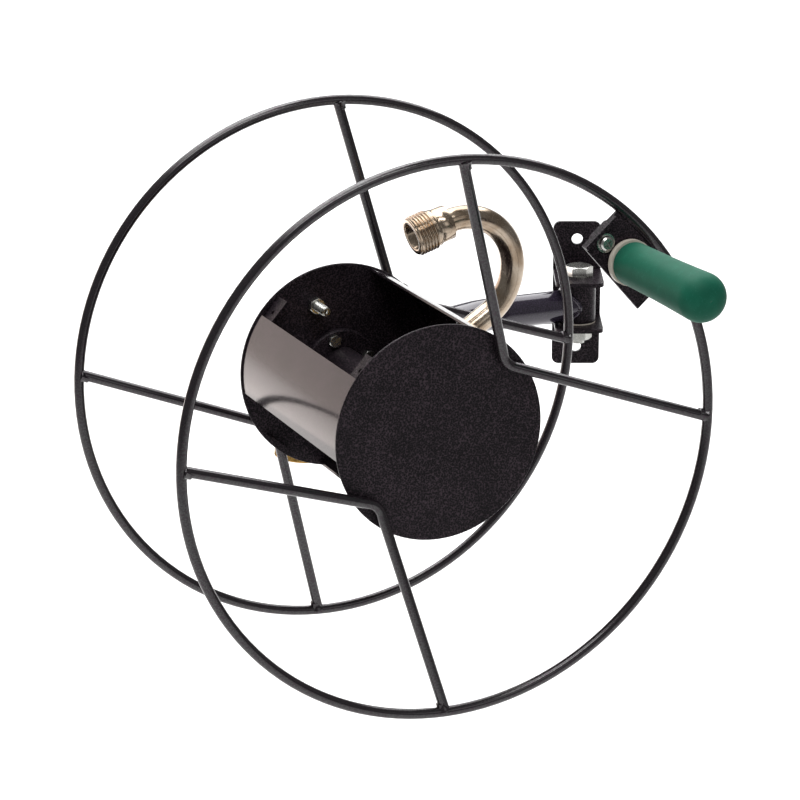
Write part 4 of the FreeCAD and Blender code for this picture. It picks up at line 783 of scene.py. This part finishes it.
class HOSEREEL_OT_grip(PieceOperator, bpy.types.Operator):
    """Make the soft grip and finish its collar, core and the nylon bushes"""
    bl_idname = "hosereel.grip"
    bl_label = "Grip"

    def execute(self, context):
        finishes, sizes = self.settings()
        grip_piece(sizes, dipped_vinyl(finishes))
        nylon = moulded_nylon(finishes)
        finish_nodes(("grip_collar", "pivot_bush_upper", "pivot_bush_lower", "thrust_washer"), nylon)
        finish_nodes(("grip_core", "grip_cover"), moulded_black("moulded_polypropylene", "#1b1b1c", 0.5))
        return {"FINISHED"}


class HOSEREEL_OT_stage(PieceOperator, bpy.types.Operator):
    """Lay the pale floor, set the soft lights and place the camera"""
    bl_idname = "hosereel.stage"
    bl_label = "Stage"

    def execute(self, context):
        stage = context.scene.hose_reel_stage
        make_floor(stage)
        make_lights(stage)
        make_camera(stage)
        return {"FINISHED"}


# ------------------------------------------------------------------ stage

def make_floor(stage):
    """A seamless sweep: flat floor that curves up far behind; height is a quarter circle past the bend."""
    near, far, half_width, bend, curve = -3.0, 4.0, 4.0, 2.5, 1.5
    rows, columns = 90, 30
    level = CAD_BOX[0].z - stage.floor_drop
    depth = np.linspace(near, far, rows)
    past = np.clip(depth - bend, 0, curve)
    rise = curve - np.sqrt(curve ** 2 - past ** 2)
    across = np.linspace(-half_width, half_width, columns)
    grid = np.stack(np.broadcast_arrays(across[None, :], depth[:, None], (level + rise)[:, None]), axis=-1)
    floor = add_surface("studio_floor", grid.reshape(-1, 3), grid_faces(rows, columns, wrap_columns=False))
    floor.data.materials.append(studio_paper())


def add_light(name, place, aim, power, width, height, code="#ffffff"):
    """A rectangular soft light of so many watts, aimed from its place at a point; sizes in metres."""
    data = bpy.data.lights.new(name, "AREA")
    data.shape = "RECTANGLE"
    data.size = width
    data.size_y = height
    data.energy = power
    data.color = linear(code)[:3]
    light = bpy.data.objects.new(name, data)
    light.location = place
    light.rotation_euler = (Vector(aim) - Vector(place)).to_track_quat("-Z", "Y").to_euler()
    bpy.context.scene.collection.objects.link(light)


def make_lights(stage):
    """Soft light: a wide box overhead, one over the sweep, a front fill, a high strip in front for the long
    highlights on tube and wire, and a tall card to the left."""
    middle = (CAD_BOX[0] + CAD_BOX[1]) / 2
    behind = Vector((0.0, 2.4, 0.0))
    add_light("overhead_softbox", middle + Vector((-0.3, 0.0, 1.6)), middle, 23.0, 1.3, 1.0)
    add_light("sweep_softbox", middle + behind + Vector((0.0, 0.0, 2.4)), middle + behind, 190.0, 4.5, 3.6)
    add_light("fill_softbox", middle + Vector((1.3, -1.6, 0.7)), middle, 2.0, 0.9, 0.9)
    add_light("left_card", middle + Vector((-1.0, 0.8, -0.02)), middle, 4.4, 0.8, 0.95, "#ffece3")
    add_light("front_strip", middle + Vector((0.2, -1.0, 1.25)), middle, 8.0, 1.0, 0.3)
    world = bpy.data.worlds.new("studio_room")
    world.use_nodes = True
    background = world.node_tree.nodes["Background"]
    background.inputs["Color"].default_value = linear("#ffffff")
    background.inputs["Strength"].default_value = stage.room_light
    bpy.context.scene.world = world
    bpy.context.scene.view_settings.view_transform = "Standard"


def make_camera(stage):
    """A camera at its place from the front wheel's centre, looking along +y and down by its elevation."""
    data = bpy.data.cameras.new("camera")
    data.lens = stage.lens
    data.sensor_width = 36.0
    data.clip_end = 50.0
    camera = bpy.data.objects.new("camera", data)
    camera.location = Vector(REEL.origin) + Vector(stage.camera_from_reel)
    camera.rotation_euler = (math.pi / 2 - stage.elevation, 0.0, 0.0)
    bpy.context.scene.collection.objects.link(camera)
    bpy.context.scene.camera = camera


# ------------------------------------------------------------------ panel and registration

PIECES = (HOSEREEL_OT_wheels, HOSEREEL_OT_drum, HOSEREEL_OT_wall_bracket, HOSEREEL_OT_fasteners,
          HOSEREEL_OT_water_way, HOSEREEL_OT_grip, HOSEREEL_OT_stage)


class HOSEREEL_PT_panel(bpy.types.Panel):
    """Lists the reel's pieces"""
    bl_idname = "HOSEREEL_PT_panel"
    bl_label = "Hose Reel"
    bl_space_type = "VIEW_3D"
    bl_region_type = "UI"
    bl_category = "Hose Reel"

    def draw(self, context):
        for piece in PIECES:
            self.layout.operator(piece.bl_idname)


GROUPS = {"hose_reel_finishes": HoseReelFinishes, "hose_reel_sizes": HoseReelSizes,
          "hose_reel_stage": HoseReelStage}


def register():
    for group in GROUPS.values():
        bpy.utils.register_class(group)
    for name, group in GROUPS.items():
        setattr(bpy.types.Scene, name, bpy.props.PointerProperty(type=group))
    for piece in PIECES + (HOSEREEL_PT_panel,):
        bpy.utils.register_class(piece)


def unregister():
    for piece in (HOSEREEL_PT_panel,) + PIECES[::-1]:
        bpy.utils.unregister_class(piece)
    for name in GROUPS:
        delattr(bpy.types.Scene, name)
    for group in list(GROUPS.values())[::-1]:
        bpy.utils.unregister_class(group)


def main():
    register()
    bpy.ops.hosereel.wheels()
    bpy.ops.hosereel.drum()
    bpy.ops.hosereel.wall_bracket()
    bpy.ops.hosereel.fasteners()
    bpy.ops.hosereel.water_way()
    bpy.ops.hosereel.grip()
    bpy.ops.hosereel.stage()


if __name__ == "__main__":
    main()
